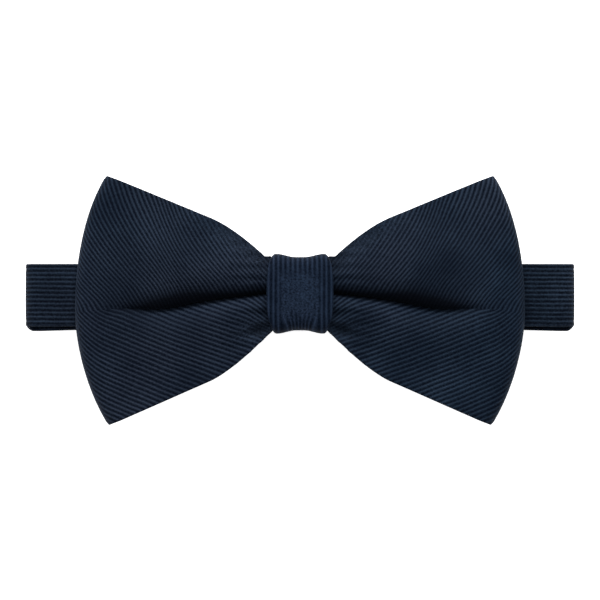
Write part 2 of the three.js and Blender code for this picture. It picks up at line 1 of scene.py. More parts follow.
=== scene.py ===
"""A pre-tied bow tie in ribbed silk, lying on its back, with its neck band folded flat behind it.

Sizes in the classes are millimetres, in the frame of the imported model: +X along the bow, +Y up to
its top edge, +Z out of its front.
"""

import logging
import math
from collections.abc import Callable, Sequence
from dataclasses import dataclass, field
from enum import Enum

import bmesh
import bpy
import numpy as np
from mathutils import Matrix, Vector


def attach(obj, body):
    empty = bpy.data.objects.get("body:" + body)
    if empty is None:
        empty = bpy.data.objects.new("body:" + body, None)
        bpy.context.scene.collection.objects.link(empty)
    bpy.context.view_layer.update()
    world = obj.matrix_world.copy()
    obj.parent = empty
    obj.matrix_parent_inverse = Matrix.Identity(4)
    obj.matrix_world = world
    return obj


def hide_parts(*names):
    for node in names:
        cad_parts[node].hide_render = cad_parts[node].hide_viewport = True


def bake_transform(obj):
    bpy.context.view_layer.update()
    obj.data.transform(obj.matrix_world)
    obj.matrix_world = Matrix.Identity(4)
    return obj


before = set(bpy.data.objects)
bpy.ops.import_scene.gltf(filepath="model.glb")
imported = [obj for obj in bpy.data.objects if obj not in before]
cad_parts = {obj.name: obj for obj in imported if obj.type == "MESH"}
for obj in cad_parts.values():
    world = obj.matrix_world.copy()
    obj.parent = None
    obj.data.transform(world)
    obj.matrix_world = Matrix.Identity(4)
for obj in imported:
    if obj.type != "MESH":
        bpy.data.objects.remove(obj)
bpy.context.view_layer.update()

MM = 0.001
CLOTH_MAP = "cloth"  # UV map: across the ribs and along them, in millimetres
SMOOTHED = "smoothed"  # attribute: 0 where the ribs are crisp, 1 where they are pressed flat
SHADED = "painted_shade"  # attribute: painted shade from 0 to 1, darkest deep in a crease and less in other hollows where shade falls

log = logging.getLogger("bow_tie")


# ------------------------------------------------------------------ small helpers
def linear(red: int, green: int, blue: int) -> tuple[float, float, float, float]:
    """A colour as a dye chart gives it, from 0 to 255, as linear light.

    Args:
        red: Red share.
        green: Green share.
        blue: Blue share.

    Returns:
        Red, green, blue and alpha from 0 to 1.
    """
    parts = [c / 255 for c in (red, green, blue)]
    light = [c / 12.92 if c <= 0.04045 else ((c + 0.055) / 1.055) ** 2.4 for c in parts]
    return (*light, 1.0)


def ease(value: np.ndarray | float, low: float, high: float) -> np.ndarray:
    """Smoothly from 0 at low to 1 at high.

    Args:
        value: Where to read the curve.
        low: Where it leaves 0.
        high: Where it reaches 1.

    Returns:
        The smoothed share at each value.
    """
    share = np.clip((np.asarray(value, float) - low) / (high - low), 0, 1)
    return share * share * (3 - 2 * share)


def hump(value: np.ndarray, centre: float, width: float) -> np.ndarray:
    """A bell of height 1 about centre, with the given half width."""
    return np.exp(-(((value - centre) / width) ** 2))


def mix(low: np.ndarray | float, high: np.ndarray | float, share: np.ndarray | float) -> np.ndarray:
    """From low at share 0 to high at share 1."""
    return np.asarray(low) * (1 - np.asarray(share)) + np.asarray(high) * np.asarray(share)


def unit(vectors: np.ndarray) -> np.ndarray:
    """The vectors, each of length 1."""
    return vectors / np.maximum(np.linalg.norm(vectors, axis=-1, keepdims=True), 1e-12)


def run_along(points: np.ndarray) -> np.ndarray:
    """Distance along a path to each of its points.

    Args:
        points: The path, a row to a point.

    Returns:
        The distances, from 0.
    """
    return np.concatenate([[0], np.cumsum(np.linalg.norm(np.diff(points, axis=0), axis=1))])


def deselect_all() -> None:
    """Clears the selection, so that an operator acts on the new piece only."""
    bpy.ops.object.select_all(action="DESELECT")


def add_object(name: str, data: bpy.types.ID) -> bpy.types.Object:
    """A new object in the scene, at the origin.

    Args:
        name: Its name.
        data: Its mesh, light or camera.

    Returns:
        The object.
    """
    made = bpy.data.objects.new(name, data)
    bpy.context.scene.collection.objects.link(made)
    return made


# ------------------------------------------------------------------ node groups and finishes
class NodeKit:
    """Builds a node tree line by line, for a material or a node group."""

    def __init__(self, tree: bpy.types.NodeTree) -> None:
        """Keeps the tree to build in.

        Args:
            tree: A material's or a group's node tree.
        """
        self.tree = tree

    def add(self, kind: str, **settings: object) -> bpy.types.Node:
        """A new node with its settings.

        Args:
            kind: The node's class name.
            **settings: Properties set on it.

        Returns:
            The node.
        """
        node = self.tree.nodes.new(kind)
        for name, value in settings.items():
            setattr(node, name, value)
        return node

    def feed(self, socket: bpy.types.NodeSocket, value: object) -> None:
        """Links an output to the socket, or sets a plain value on it.

        Args:
            socket: An input of a node.
            value: An output of another node, or a number, colour or vector.
        """
        if isinstance(value, bpy.types.NodeSocket):
            self.tree.links.new(value, socket)
        else:
            socket.default_value = value

    def math(self, operation: str, *values: object, clamp: bool = False) -> bpy.types.NodeSocket:
        """A Math node.

        Args:
            operation: What it does.
            *values: Its inputs, numbers or outputs of other nodes.
            clamp: Whether the result is held between 0 and 1.

        Returns:
            Its output.
        """
        node = self.add("ShaderNodeMath", operation=operation, use_clamp=clamp)
        for socket, value in zip(node.inputs, values):
            self.feed(socket, value)
        return node.outputs[0]

    def blend(self, share: object, first: object, second: object) -> bpy.types.NodeSocket:
        """A colour between two colours.

        Args:
            share: 0 for the first, 1 for the second.
            first: A colour or an output.
            second: A colour or an output.

        Returns:
            The mixed colour.
        """
        node = self.add("ShaderNodeMix", data_type="RGBA")
        for name, value in (("Factor_Float", share), ("A_Color", first), ("B_Color", second)):
            socket = next(s for s in node.inputs if s.identifier == name)
            self.feed(socket, value)
        return next(s for s in node.outputs if s.identifier == "Result_Color")

    def noise(self, vector: bpy.types.NodeSocket, scale: float, detail: float = 2.0) -> bpy.types.NodeSocket:
        """Noise from 0 to 1 at a place.

        Args:
            vector: Where.
            scale: Cells to a unit.
            detail: Finer layers on top.

        Returns:
            The noise's value.
        """
        node = self.add("ShaderNodeTexNoise")
        self.feed(node.inputs["Vector"], vector)
        node.inputs["Scale"].default_value = scale
        node.inputs["Detail"].default_value = detail
        return node.outputs["Fac"]
    def times(self, first: object, second: object) -> bpy.types.NodeSocket:
        """The product of two values."""
        return self.math("MULTIPLY", first, second)

    def plus(self, first: object, second: object, clamp: bool = False) -> bpy.types.NodeSocket:
        """The sum of two values."""
        return self.math("ADD", first, second, clamp=clamp)

    def minus(self, first: object, second: object) -> bpy.types.NodeSocket:
        """The first value less the second."""
        return self.math("SUBTRACT", first, second)

    def scaled(
        self, value: object, factor: object, offset: object, clamp: bool = False
    ) -> bpy.types.NodeSocket:
        """A value times a factor, plus an offset."""
        return self.math("MULTIPLY_ADD", value, factor, offset, clamp=clamp)

    def split(self, vector: bpy.types.NodeSocket) -> tuple[bpy.types.NodeSocket, bpy.types.NodeSocket]:
        """The first two parts of a vector.

        Args:
            vector: The vector.

        Returns:
            Its first and its second part.
        """
        node = self.add("ShaderNodeSeparateXYZ")
        self.feed(node.inputs[0], vector)
        return node.outputs[0], node.outputs[1]

    def cloth_place(self) -> bpy.types.NodeSocket:
        """Where a point lies on the piece's own cloth map."""
        return self.add("ShaderNodeUVMap", uv_map=CLOTH_MAP).outputs[0]

    def object_place(self) -> bpy.types.NodeSocket:
        """Where a point lies in the tie's frame."""
        return self.add("ShaderNodeTexCoord").outputs["Object"]

    def attribute(self, name: str) -> bpy.types.NodeSocket:
        """A value stored on the piece's points."""
        return self.add("ShaderNodeAttribute", attribute_name=name).outputs["Fac"]

    def relief(self, shader: bpy.types.Node, height: bpy.types.NodeSocket, depth: float) -> None:
        """Raises the surface by a pattern.

        Args:
            shader: The material's shader.
            height: The pattern, from 0 to 1.
            depth: How far it stands up, in millimetres.
        """
        bump = self.add("ShaderNodeBump")
        bump.inputs["Distance"].default_value = depth * MM
        self.feed(bump.inputs["Height"], height)
        self.feed(shader.inputs["Normal"], bump.outputs["Normal"])


def new_group(
    name: str, inputs: dict[str, object], outputs: dict[str, str]
) -> tuple[bpy.types.NodeTree, NodeKit, bpy.types.Node, bpy.types.Node]:
    """An empty node group with named sockets.

    Args:
        name: The group's name.
        inputs: Each input's name and start value; a float, a colour, or a plain 3-vector.
        outputs: Each output's name and socket kind.

    Returns:
        The group, its kit, its input node and its output node.
    """
    group = bpy.data.node_groups.new(name, "ShaderNodeTree")
    for socket_name, value in inputs.items():
        kind = "NodeSocketFloat"
        if isinstance(value, tuple):
            kind = "NodeSocketColor" if len(value) == 4 else "NodeSocketVector"
        socket = group.interface.new_socket(socket_name, in_out="INPUT", socket_type=kind)
        socket.default_value = value
    for socket_name, kind in outputs.items():
        group.interface.new_socket(socket_name, in_out="OUTPUT", socket_type=kind)
    kit = NodeKit(group)
    return group, kit, kit.add("NodeGroupInput"), kit.add("NodeGroupOutput")


def new_material(name: str) -> tuple[bpy.types.Material, NodeKit, bpy.types.Node]:
    """An empty material.

    Args:
        name: The material's name.
    """
    material = bpy.data.materials.new(name)
    material.use_nodes = True
    return material, NodeKit(material.node_tree), material.node_tree.nodes["Principled BSDF"]


class RibWeave:
    """The ribbed weave that every silk piece shares: round ribs over a fine cross yarn."""

    NAME = "rib weave"
    PAINTED_CREASE_SHADE = (0.0006, 0.0011, 0.0026, 1.0)  # painted shade: the near black painted deep in a crease
    FLAT_RIB = 0.52  # height of a rib that is pressed flat
    PRESSED = 0.85  # how much of a rib goes where it is pressed flat

    @classmethod
    def group(cls) -> bpy.types.NodeTree:
        """The node group, built the first time it is asked for.

        Returns:
            A group that turns cloth coordinates into a colour, a height and a roughness.
        """
        found = bpy.data.node_groups.get(cls.NAME)
        if found:
            return found
        group, kit, given, made = new_group(
            cls.NAME,
            {
                "Cloth": (0.0, 0.0, 0.0),
                "Place": (0.0, 0.0, 0.0),
                "Pitch": 1.17,
                "Yarn": 0.3,
                "Fullness": 1.3,
                "Rib Colour": (0.03, 0.05, 0.08, 1.0),
                "Shot Colour": (0.03, 0.05, 0.08, 1.0),
                "Valley Shade Colour": (0.002, 0.004, 0.01, 1.0),
                "Smoothed": 0.0,
                "Depth": 0.0,
                "Roughness": 0.6,
            },
            {
                "Colour": "NodeSocketColor",
                "Height": "NodeSocketFloat",
                "Roughness": "NodeSocketFloat",
            },
        )
        across, along = kit.split(given.outputs["Cloth"])
        place, valley_shade = given.outputs["Place"], given.outputs["Valley Shade Colour"]
        # round ribs, whose width and spacing wander a little
        wander = kit.times(kit.minus(kit.noise(place, 90.0, 1.0), 0.5), 0.55)
        count = kit.math("DIVIDE", kit.plus(across, wander), given.outputs["Pitch"])
        from_crest = kit.math("ABSOLUTE", kit.minus(kit.times(kit.math("FRACT", count), 2.0), 1.0))
        swell = kit.scaled(kit.noise(place, 75.0, 1.0), 1.5, 0.3)
        fullness = kit.times(given.outputs["Fullness"], swell)
        rib = kit.minus(1.0, kit.math("POWER", from_crest, fullness))
        softened = kit.times(given.outputs["Smoothed"], cls.PRESSED)
        rib = kit.plus(kit.times(rib, kit.minus(1.0, softened)), kit.times(softened, cls.FLAT_RIB))
        # the cross yarn, staggered from rib to rib, and the pebbled grain over it
        stagger = kit.times(kit.math("FLOOR", count), 0.37)
        step = kit.math("FRACT", kit.plus(kit.math("DIVIDE", along, given.outputs["Yarn"]), stagger))
        yarn = kit.math("SINE", kit.times(step, 2 * math.pi))
        pebble = kit.noise(place, 2100.0, 2.0)
        fine = kit.plus(kit.times(yarn, 0.18), kit.times(kit.minus(pebble, 0.5), 2.3))
        fine = kit.times(fine, kit.scaled(softened, 2.0, 1.0))
        # colour: shot silk on the ribs, painted shade in the valleys between them, soft dark patches at
        # random, and painted shade, near black, in a crease and in other hollows that the piece's attribute
        # marks
        tone = kit.plus(kit.times(rib, 0.92), kit.times(fine, 0.30), clamp=True)
        shot = kit.scaled(kit.noise(place, 28.0, 1.0), 3.0, -1.0, clamp=True)
        light = kit.blend(shot, given.outputs["Rib Colour"], given.outputs["Shot Colour"])
        patch = kit.scaled(kit.noise(place, 55.0, 2.0), 3.2, -1.35, clamp=True)
        hue = kit.blend(kit.times(patch, 0.55), kit.blend(tone, valley_shade, light), valley_shade)
        # painted shade: towards near black as the piece's painted-shade attribute rises
        dark = kit.blend(kit.times(given.outputs["Depth"], 0.93), hue, cls.PAINTED_CREASE_SHADE)
        rough = kit.plus(given.outputs["Roughness"], kit.times(fine, 0.16), clamp=True)
        kit.feed(made.inputs["Colour"], dark)
        kit.feed(made.inputs["Height"], kit.plus(rib, kit.times(fine, 0.22)))
        kit.feed(made.inputs["Roughness"], rough)
        return group


@dataclass(frozen=True)
class RibbedSilk:
    """Navy silk with fine round ribs."""

    name: str
    rib: tuple[int, int, int]
    shot: tuple[int, int, int]
    # the colour between the ribs: painted shade for their self-shadow; the crests' lighter colour stands in
    # part for a painted highlight of their sheen
    valley_shade: tuple[int, int, int]
    fullness: float = 1.25
    pitch: float = 1.17
    yarn: float = 0.34
    rib_height: float = 0.16
    roughness: float = 0.72
    sheen: float = 0.02
    specular: float = 0.035

    def material(self) -> bpy.types.Material:
        """Makes the cloth's material.

        Returns:
            A material that reads the piece's own cloth map and attributes.
        """
        material, kit, shader = new_material(self.name)
        weave = kit.add("ShaderNodeGroup", node_tree=RibWeave.group())
        for name, value in {
            "Cloth": kit.cloth_place(),
            "Place": kit.object_place(),
            "Pitch": self.pitch,
            "Yarn": self.yarn,
            "Fullness": self.fullness,
            "Rib Colour": linear(*self.rib),
            "Shot Colour": linear(*self.shot),
            "Valley Shade Colour": linear(*self.valley_shade),
            "Smoothed": kit.attribute(SMOOTHED),
            "Depth": kit.attribute(SHADED),
            "Roughness": self.roughness,
        }.items():
            kit.feed(weave.inputs[name], value)
        kit.relief(shader, weave.outputs["Height"], self.rib_height)
        for name, value in {
            "Base Color": weave.outputs["Colour"],
            "Roughness": weave.outputs["Roughness"],
            "Specular IOR Level": self.specular,
            "Sheen Weight": self.sheen,
            "Sheen Roughness": 0.45,
            "Sheen Tint": linear(150, 170, 205),
        }.items():
            kit.feed(shader.inputs[name], value)
        return material


@dataclass(frozen=True)
class Canvas:
    """Slate-dyed woven canvas, for the interlinings."""

    name: str = "slate canvas"
    light: tuple[int, int, int] = (74, 80, 92)
    dark: tuple[int, int, int] = (38, 42, 52)
    thread: float = 0.45

    def material(self) -> bpy.types.Material:
        """Makes a plain weave of warp and weft over the piece's own cloth map.

        Returns:
            The material.
        """
        material, kit, shader = new_material(self.name)
        across, along = kit.split(kit.cloth_place())
        turn = math.pi / self.thread
        warp = kit.math("SINE", kit.times(across, turn))
        weft = kit.math("SINE", kit.times(along, turn))
        weave = kit.scaled(kit.times(warp, weft), 0.5, 0.5)
        slub = kit.noise(kit.object_place(), 700.0, 3.0)
        tone = kit.scaled(slub, 0.5, kit.times(weave, 0.6), clamp=True)
        kit.feed(shader.inputs["Base Color"], kit.blend(tone, linear(*self.dark), linear(*self.light)))
        kit.feed(shader.inputs["Roughness"], kit.scaled(slub, 0.15, 0.8))
        kit.relief(shader, tone, 0.08)
        return material


@dataclass(frozen=True)
class SewingThread:
    """Twisted navy sewing thread."""

    name: str = "navy thread"
    light: tuple[int, int, int] = (44, 60, 88)
    dark: tuple[int, int, int] = (8, 13, 26)
    plies: float = 5.0

    def material(self) -> bpy.types.Material:
        """Makes a twist that winds along the thread, from the piece's own cloth map.

        Returns:
            The material.
        """
        material, kit, shader = new_material(self.name)
        along, round_it = kit.split(kit.cloth_place())
        turn = kit.plus(kit.times(along, 6.0), kit.times(round_it, self.plies))
        twist = kit.scaled(kit.math("SINE", turn), 0.5, 0.5)
        fuzz = kit.noise(kit.object_place(), 2500.0, 2.0)
        tone = kit.scaled(fuzz, 0.3, kit.times(twist, 0.75), clamp=True)
        kit.feed(shader.inputs["Base Color"], kit.blend(tone, linear(*self.dark), linear(*self.light)))
        kit.feed(shader.inputs["Roughness"], kit.scaled(fuzz, 0.2, 0.45))
        kit.relief(shader, twist, 0.05)
        return material


@dataclass(frozen=True)
class SatinNickel:
    """Nickel-plated pressed steel with a fine lengthwise grain."""

    name: str = "satin nickel"
    bright: tuple[int, int, int] = (214, 212, 206)
    dull: tuple[int, int, int] = (168, 167, 163)
    roughness: float = 0.26

    def material(self) -> bpy.types.Material:
        """Makes the metal.

        Returns:
            The material.
        """
        material, kit, shader = new_material(self.name)
        place = kit.object_place()
        stretch = kit.add("ShaderNodeMapping")
        kit.feed(stretch.inputs["Vector"], place)
        stretch.inputs["Scale"].default_value = (260.0, 6500.0, 6500.0)
        grain = kit.noise(stretch.outputs[0], 1.0, 3.0)
        cloud = kit.noise(place, 180.0, 2.0)
        tone = kit.scaled(cloud, 0.6, kit.times(grain, 0.4), clamp=True)
        rough = kit.plus(kit.times(grain, 0.16), kit.scaled(cloud, 0.10, self.roughness - 0.08))
        kit.feed(shader.inputs["Base Color"], kit.blend(tone, linear(*self.dull), linear(*self.bright)))
        kit.feed(shader.inputs["Roughness"], rough)
        kit.relief(shader, grain, 0.008)
        shader.inputs["Metallic"].default_value = 1.0
        return material


WING_SILK = RibbedSilk(
    "wing silk", rib=(47, 56, 71), shot=(41, 56, 73), valley_shade=(0, 4, 15), fullness=0.48
)
KNOT_SILK = RibbedSilk(
    "knot silk", rib=(40, 50, 69), shot=(36, 51, 70), valley_shade=(0, 5, 17), fullness=0.56, pitch=1.28
)
BAND_SILK = RibbedSilk(
    "band silk", rib=(53, 64, 82), shot=(49, 65, 83), valley_shade=(0, 3, 12), fullness=0.33
)


class Slot(Enum):
    """The material slots."""

    WING = "wing_silk"
    KNOT = "knot_silk"
    BAND = "band_silk"
    LINING = "interlining"
    THREAD = "thread"
    METAL = "fittings"


class Wardrobe:
    """Every material, made once."""

    def __init__(self) -> None:
        """Makes the materials of all six slots."""
        self.materials = {
            Slot.WING: WING_SILK.material(),
            Slot.KNOT: KNOT_SILK.material(),
            Slot.BAND: BAND_SILK.material(),
            Slot.LINING: Canvas().material(),
            Slot.THREAD: SewingThread().material(),
            Slot.METAL: SatinNickel().material(),
        }

    def dress(self, piece: bpy.types.Object, slot: Slot) -> None:
        """Gives a piece the material of its slot.

        Args:
            piece: The piece.
            slot: The slot that it takes its finish from.
        """
        piece.data.materials.clear()
        piece.data.materials.append(self.materials[slot])

    def fit(self, piece: bpy.types.Object, slot: Slot, body: str, *nodes: str) -> None:
        """Dresses a piece, seats it on its body and hides the CAD nodes that it stands for.

        Args:
            piece: The piece.
            slot: The slot that it takes its finish from.
            body: The body that it rides on.
            *nodes: The CAD nodes.
        """
        self.dress(piece, slot)
        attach(piece, body)
        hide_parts(*nodes)


# ------------------------------------------------------------------ cloth as closed sheets
@dataclass
class Cloth:
    """A closed sheet of cloth over a grid of points, with rounded edges.

    Attributes:
        outer: Points of the good side, in rows along the cloth, millimetres.
        thickness: How thick the cloth is.
        cloth_map: For each point, millimetres across the ribs and along them.
        wrap: Whether the last row joins the first.
        second_map: Another map, for the cells that second_cells marks.
        second_cells: For each cell between columns, whether it takes second_map.
        smoothed: How far the ribs are pressed flat at each point.
        painted_shade: Painted shade at each point, from 0 to 1: most deep in a crease, less in other shaded
            hollows.
        rim_steps: Points round each edge.
        flip: Whether rows and columns run so that their cross product points in.
    """

    outer: np.ndarray
    thickness: float
    cloth_map: np.ndarray
    wrap: bool = False
    second_map: np.ndarray | None = None
    second_cells: np.ndarray | None = None
    smoothed: np.ndarray | None = None
    painted_shade: np.ndarray | None = None
    rim_steps: int = 5
    flip: bool = False

    def normals(self) -> np.ndarray:
        """Directions out of the good side.

        Returns:
            A unit vector at each point.
        """
        if self.wrap:
            along = np.roll(self.outer, -1, axis=0) - np.roll(self.outer, 1, axis=0)
        else:
            along = np.gradient(self.outer, axis=0)
        return unit(np.cross(along, np.gradient(self.outer, axis=1))) * (-1 if self.flip else 1)

    def loops(self) -> tuple[np.ndarray, list[int]]:
        """Each row's closed outline: good side, one rim, inner side, other rim.

        Returns:
            The points, and for each point of an outline the column whose cloth map it takes.
        """
        normal = self.normals()
        inner = self.outer - normal * self.thickness
        columns = self.outer.shape[1]
        parts, source = [self.outer], list(range(columns))
        for side, beside in ((-1, -2), (0, 1)):
            out = self.outer[:, side] - self.outer[:, beside]
            face = normal[:, side]
            out = unit(out - (out * face).sum(-1, keepdims=True) * face)
            centre = (self.outer[:, side] + inner[:, side]) / 2
            angles = np.linspace(0, math.pi, self.rim_steps + 2)[1:-1]
            if side == 0:
                angles = angles[::-1]
            rim = [centre + (math.cos(a) * face + math.sin(a) * out) * self.thickness / 2 for a in angles]
            if side == -1:
                parts += [np.stack(rim, 1), inner[:, ::-1]]
                source += [columns - 1] * self.rim_steps + list(range(columns))[::-1]
            else:
                parts.append(np.stack(rim, 1))
                source += [0] * self.rim_steps
        return np.concatenate(parts, 1), source

    def build(self, name: str, mirrored: bool = False) -> bpy.types.Object:
        """Makes the piece's mesh.

        Args:
            name: The piece's name.
            mirrored: Whether it is the mirror image in X.

        Returns:
            The new object, at the origin.
        """
        points, source = self.loops()
        rows, around = points.shape[:2]
        columns = self.outer.shape[1]
        def at(i: int, j: int) -> int:
            """Number of the point in row i, j points round it."""
            return (i % rows) * around + j % around

        faces, cells = [], []
        cell_of = [*range(columns - 1), columns - 2, *[columns - 2] * self.rim_steps]
        cell_of += [*range(columns - 1)[::-1], 0, *[0] * self.rim_steps]
        for i in range(rows if self.wrap else rows - 1):
            for j in range(around):
                faces.append([at(i, j), at(i + 1, j), at(i + 1, j + 1), at(i, j + 1)])
                cells.append(cell_of[j])
        if not self.wrap:
            for row, turned in ((0, False), (rows - 1, True)):
                faces_here = self.end_faces(row, around, columns)
                faces += [f[::-1] if turned else f for f in faces_here]
                cells += [min(f[0] % around, columns - 2) for f in faces_here]
        flat = points.reshape(-1, 3) * MM
        if mirrored:
            flat = flat * [-1, 1, 1]
        quads = np.array([f for f in faces if len(f) == 4])
        first = flat[quads[:, 0]]
        volume = sum(
            float(np.einsum("ij,ij->i", first, np.cross(flat[quads[:, k]], flat[quads[:, k + 1]])).sum())
            for k in (1, 2)
        )
        if volume < 0:
            faces = [f[::-1] for f in faces]
        mesh = bpy.data.meshes.new(name)
        mesh.from_pydata(flat.tolist(), [], faces)
        self.paint(mesh, source, np.array(cells), rows, around)
        round_faces = (rows if self.wrap else rows - 1) * around
        mesh.polygons.foreach_set("use_smooth", np.arange(len(faces)) < round_faces)
        mesh.update()
        return add_object(name, mesh)

    def end_faces(self, row: int, around: int, columns: int) -> list[list[int]]:
        """Faces that close the cloth at a cut end.

        Args:
            row: The row at the end.
            around: Points in a row's outline.
            columns: Points across the good side.

        Returns:
            Lists of point numbers.
        """
        base, rim = row * around, self.rim_steps
        def inner(j: int) -> int:
            """Number of the inner side's point behind column j."""
            return base + columns + rim + (columns - 1 - j)

        faces = [[base + j, base + j + 1, inner(j + 1), inner(j)] for j in range(columns - 1)]
        first_rim = range(base + columns, base + columns + rim)
        faces.append([base + columns - 1, *first_rim, inner(columns - 1)])
        faces.append([base, inner(0), *range(base + 2 * columns + rim, base + around)])
        return faces

    def paint(
        self, mesh: bpy.types.Mesh, source: list[int], cells: np.ndarray, rows: int, around: int
    ) -> None:
        """Writes the cloth map and the attributes that the finishes read.

        Args:
            mesh: The new mesh.
            source: For each point of an outline, its column.
            cells: For each face, the cell between columns that it lies in.
            rows: Rows along the cloth.
            around: Points in a row's outline.
        """
        corner_vertex = np.empty(len(mesh.loops), int)
        mesh.loops.foreach_get("vertex_index", corner_vertex)
        row, column = corner_vertex // around, np.array(source)[corner_vertex % around]
        uv = self.cloth_map[row, column].copy()
        starts = np.empty(len(mesh.polygons), int)
        mesh.polygons.foreach_get("loop_start", starts)
        totals = np.empty(len(mesh.polygons), int)
        mesh.polygons.foreach_get("loop_total", totals)
        if self.second_map is not None:
            second = np.repeat(self.second_cells[cells], totals)
            uv[second] = self.second_map[row, column][second]
        if self.wrap:
            first_row = np.repeat(np.arange(len(totals)) // around == rows - 1, totals) & (row == 0)
            last, before = self.cloth_map[-1, 0, 1], self.cloth_map[-2, 0, 1]
            uv[first_row, 1] += last - before + last
        layer = mesh.uv_layers.new(name=CLOTH_MAP)
        layer.data.foreach_set("uv", uv.astype(np.float32).ravel())
        vertex = np.arange(rows * around)
        at_row, at_column = vertex // around, np.array(source)[vertex % around]
        for name, values in ((SMOOTHED, self.smoothed), (SHADED, self.painted_shade)):
            given = np.zeros(self.outer.shape[:2]) if values is None else values
            attribute = mesh.attributes.new(name, "FLOAT", "POINT")
            attribute.data.foreach_set("value", given[at_row, at_column].astype(np.float32))


def thread_tube(
    name: str, path: Sequence[Sequence[float]], radius: float, sides: int = 8
) -> bpy.types.Object:
    """A round thread along a path, closed at its ends.

    Args:
        name: The piece's name.
        path: Points in millimetres.
        radius: Half the thread's thickness.
        sides: Faces round it.

    Returns:
        The new object.
    """
    points = np.array(path, float)
    ahead = unit(np.gradient(points, axis=0))
    side = unit(np.cross(ahead, [0.03, 0.05, 1.0]))
    other = np.cross(ahead, side)
    angles = np.linspace(0, 2 * math.pi, sides, endpoint=False)
    rings = np.stack([points + radius * (math.cos(a) * side + math.sin(a) * other) for a in angles], 1)
    length = run_along(points)
    count = len(points)
    faces = [
        [i * sides + j, i * sides + (j + 1) % sides, (i + 1) * sides + (j + 1) % sides, (i + 1) * sides + j]
        for i in range(count - 1) for j in range(sides)
    ]
    faces += [list(range(sides))[::-1], [(count - 1) * sides + j for j in range(sides)]]
    mesh = bpy.data.meshes.new(name)
    mesh.from_pydata((rings.reshape(-1, 3) * MM).tolist(), [], faces)
    layer = mesh.uv_layers.new(name=CLOTH_MAP)
    for loop in mesh.loops:
        ring, j = divmod(loop.vertex_index, sides)
        layer.data[loop.index].uv = (length[ring], j * 2 * math.pi / sides)
    mesh.polygons.foreach_set("use_smooth", np.ones(len(faces), bool))
    made = bmesh.new()
    made.from_mesh(mesh)
    bmesh.ops.recalc_face_normals(made, faces=made.faces)
    made.to_mesh(mesh)
    made.free()
    return add_object(name, mesh)


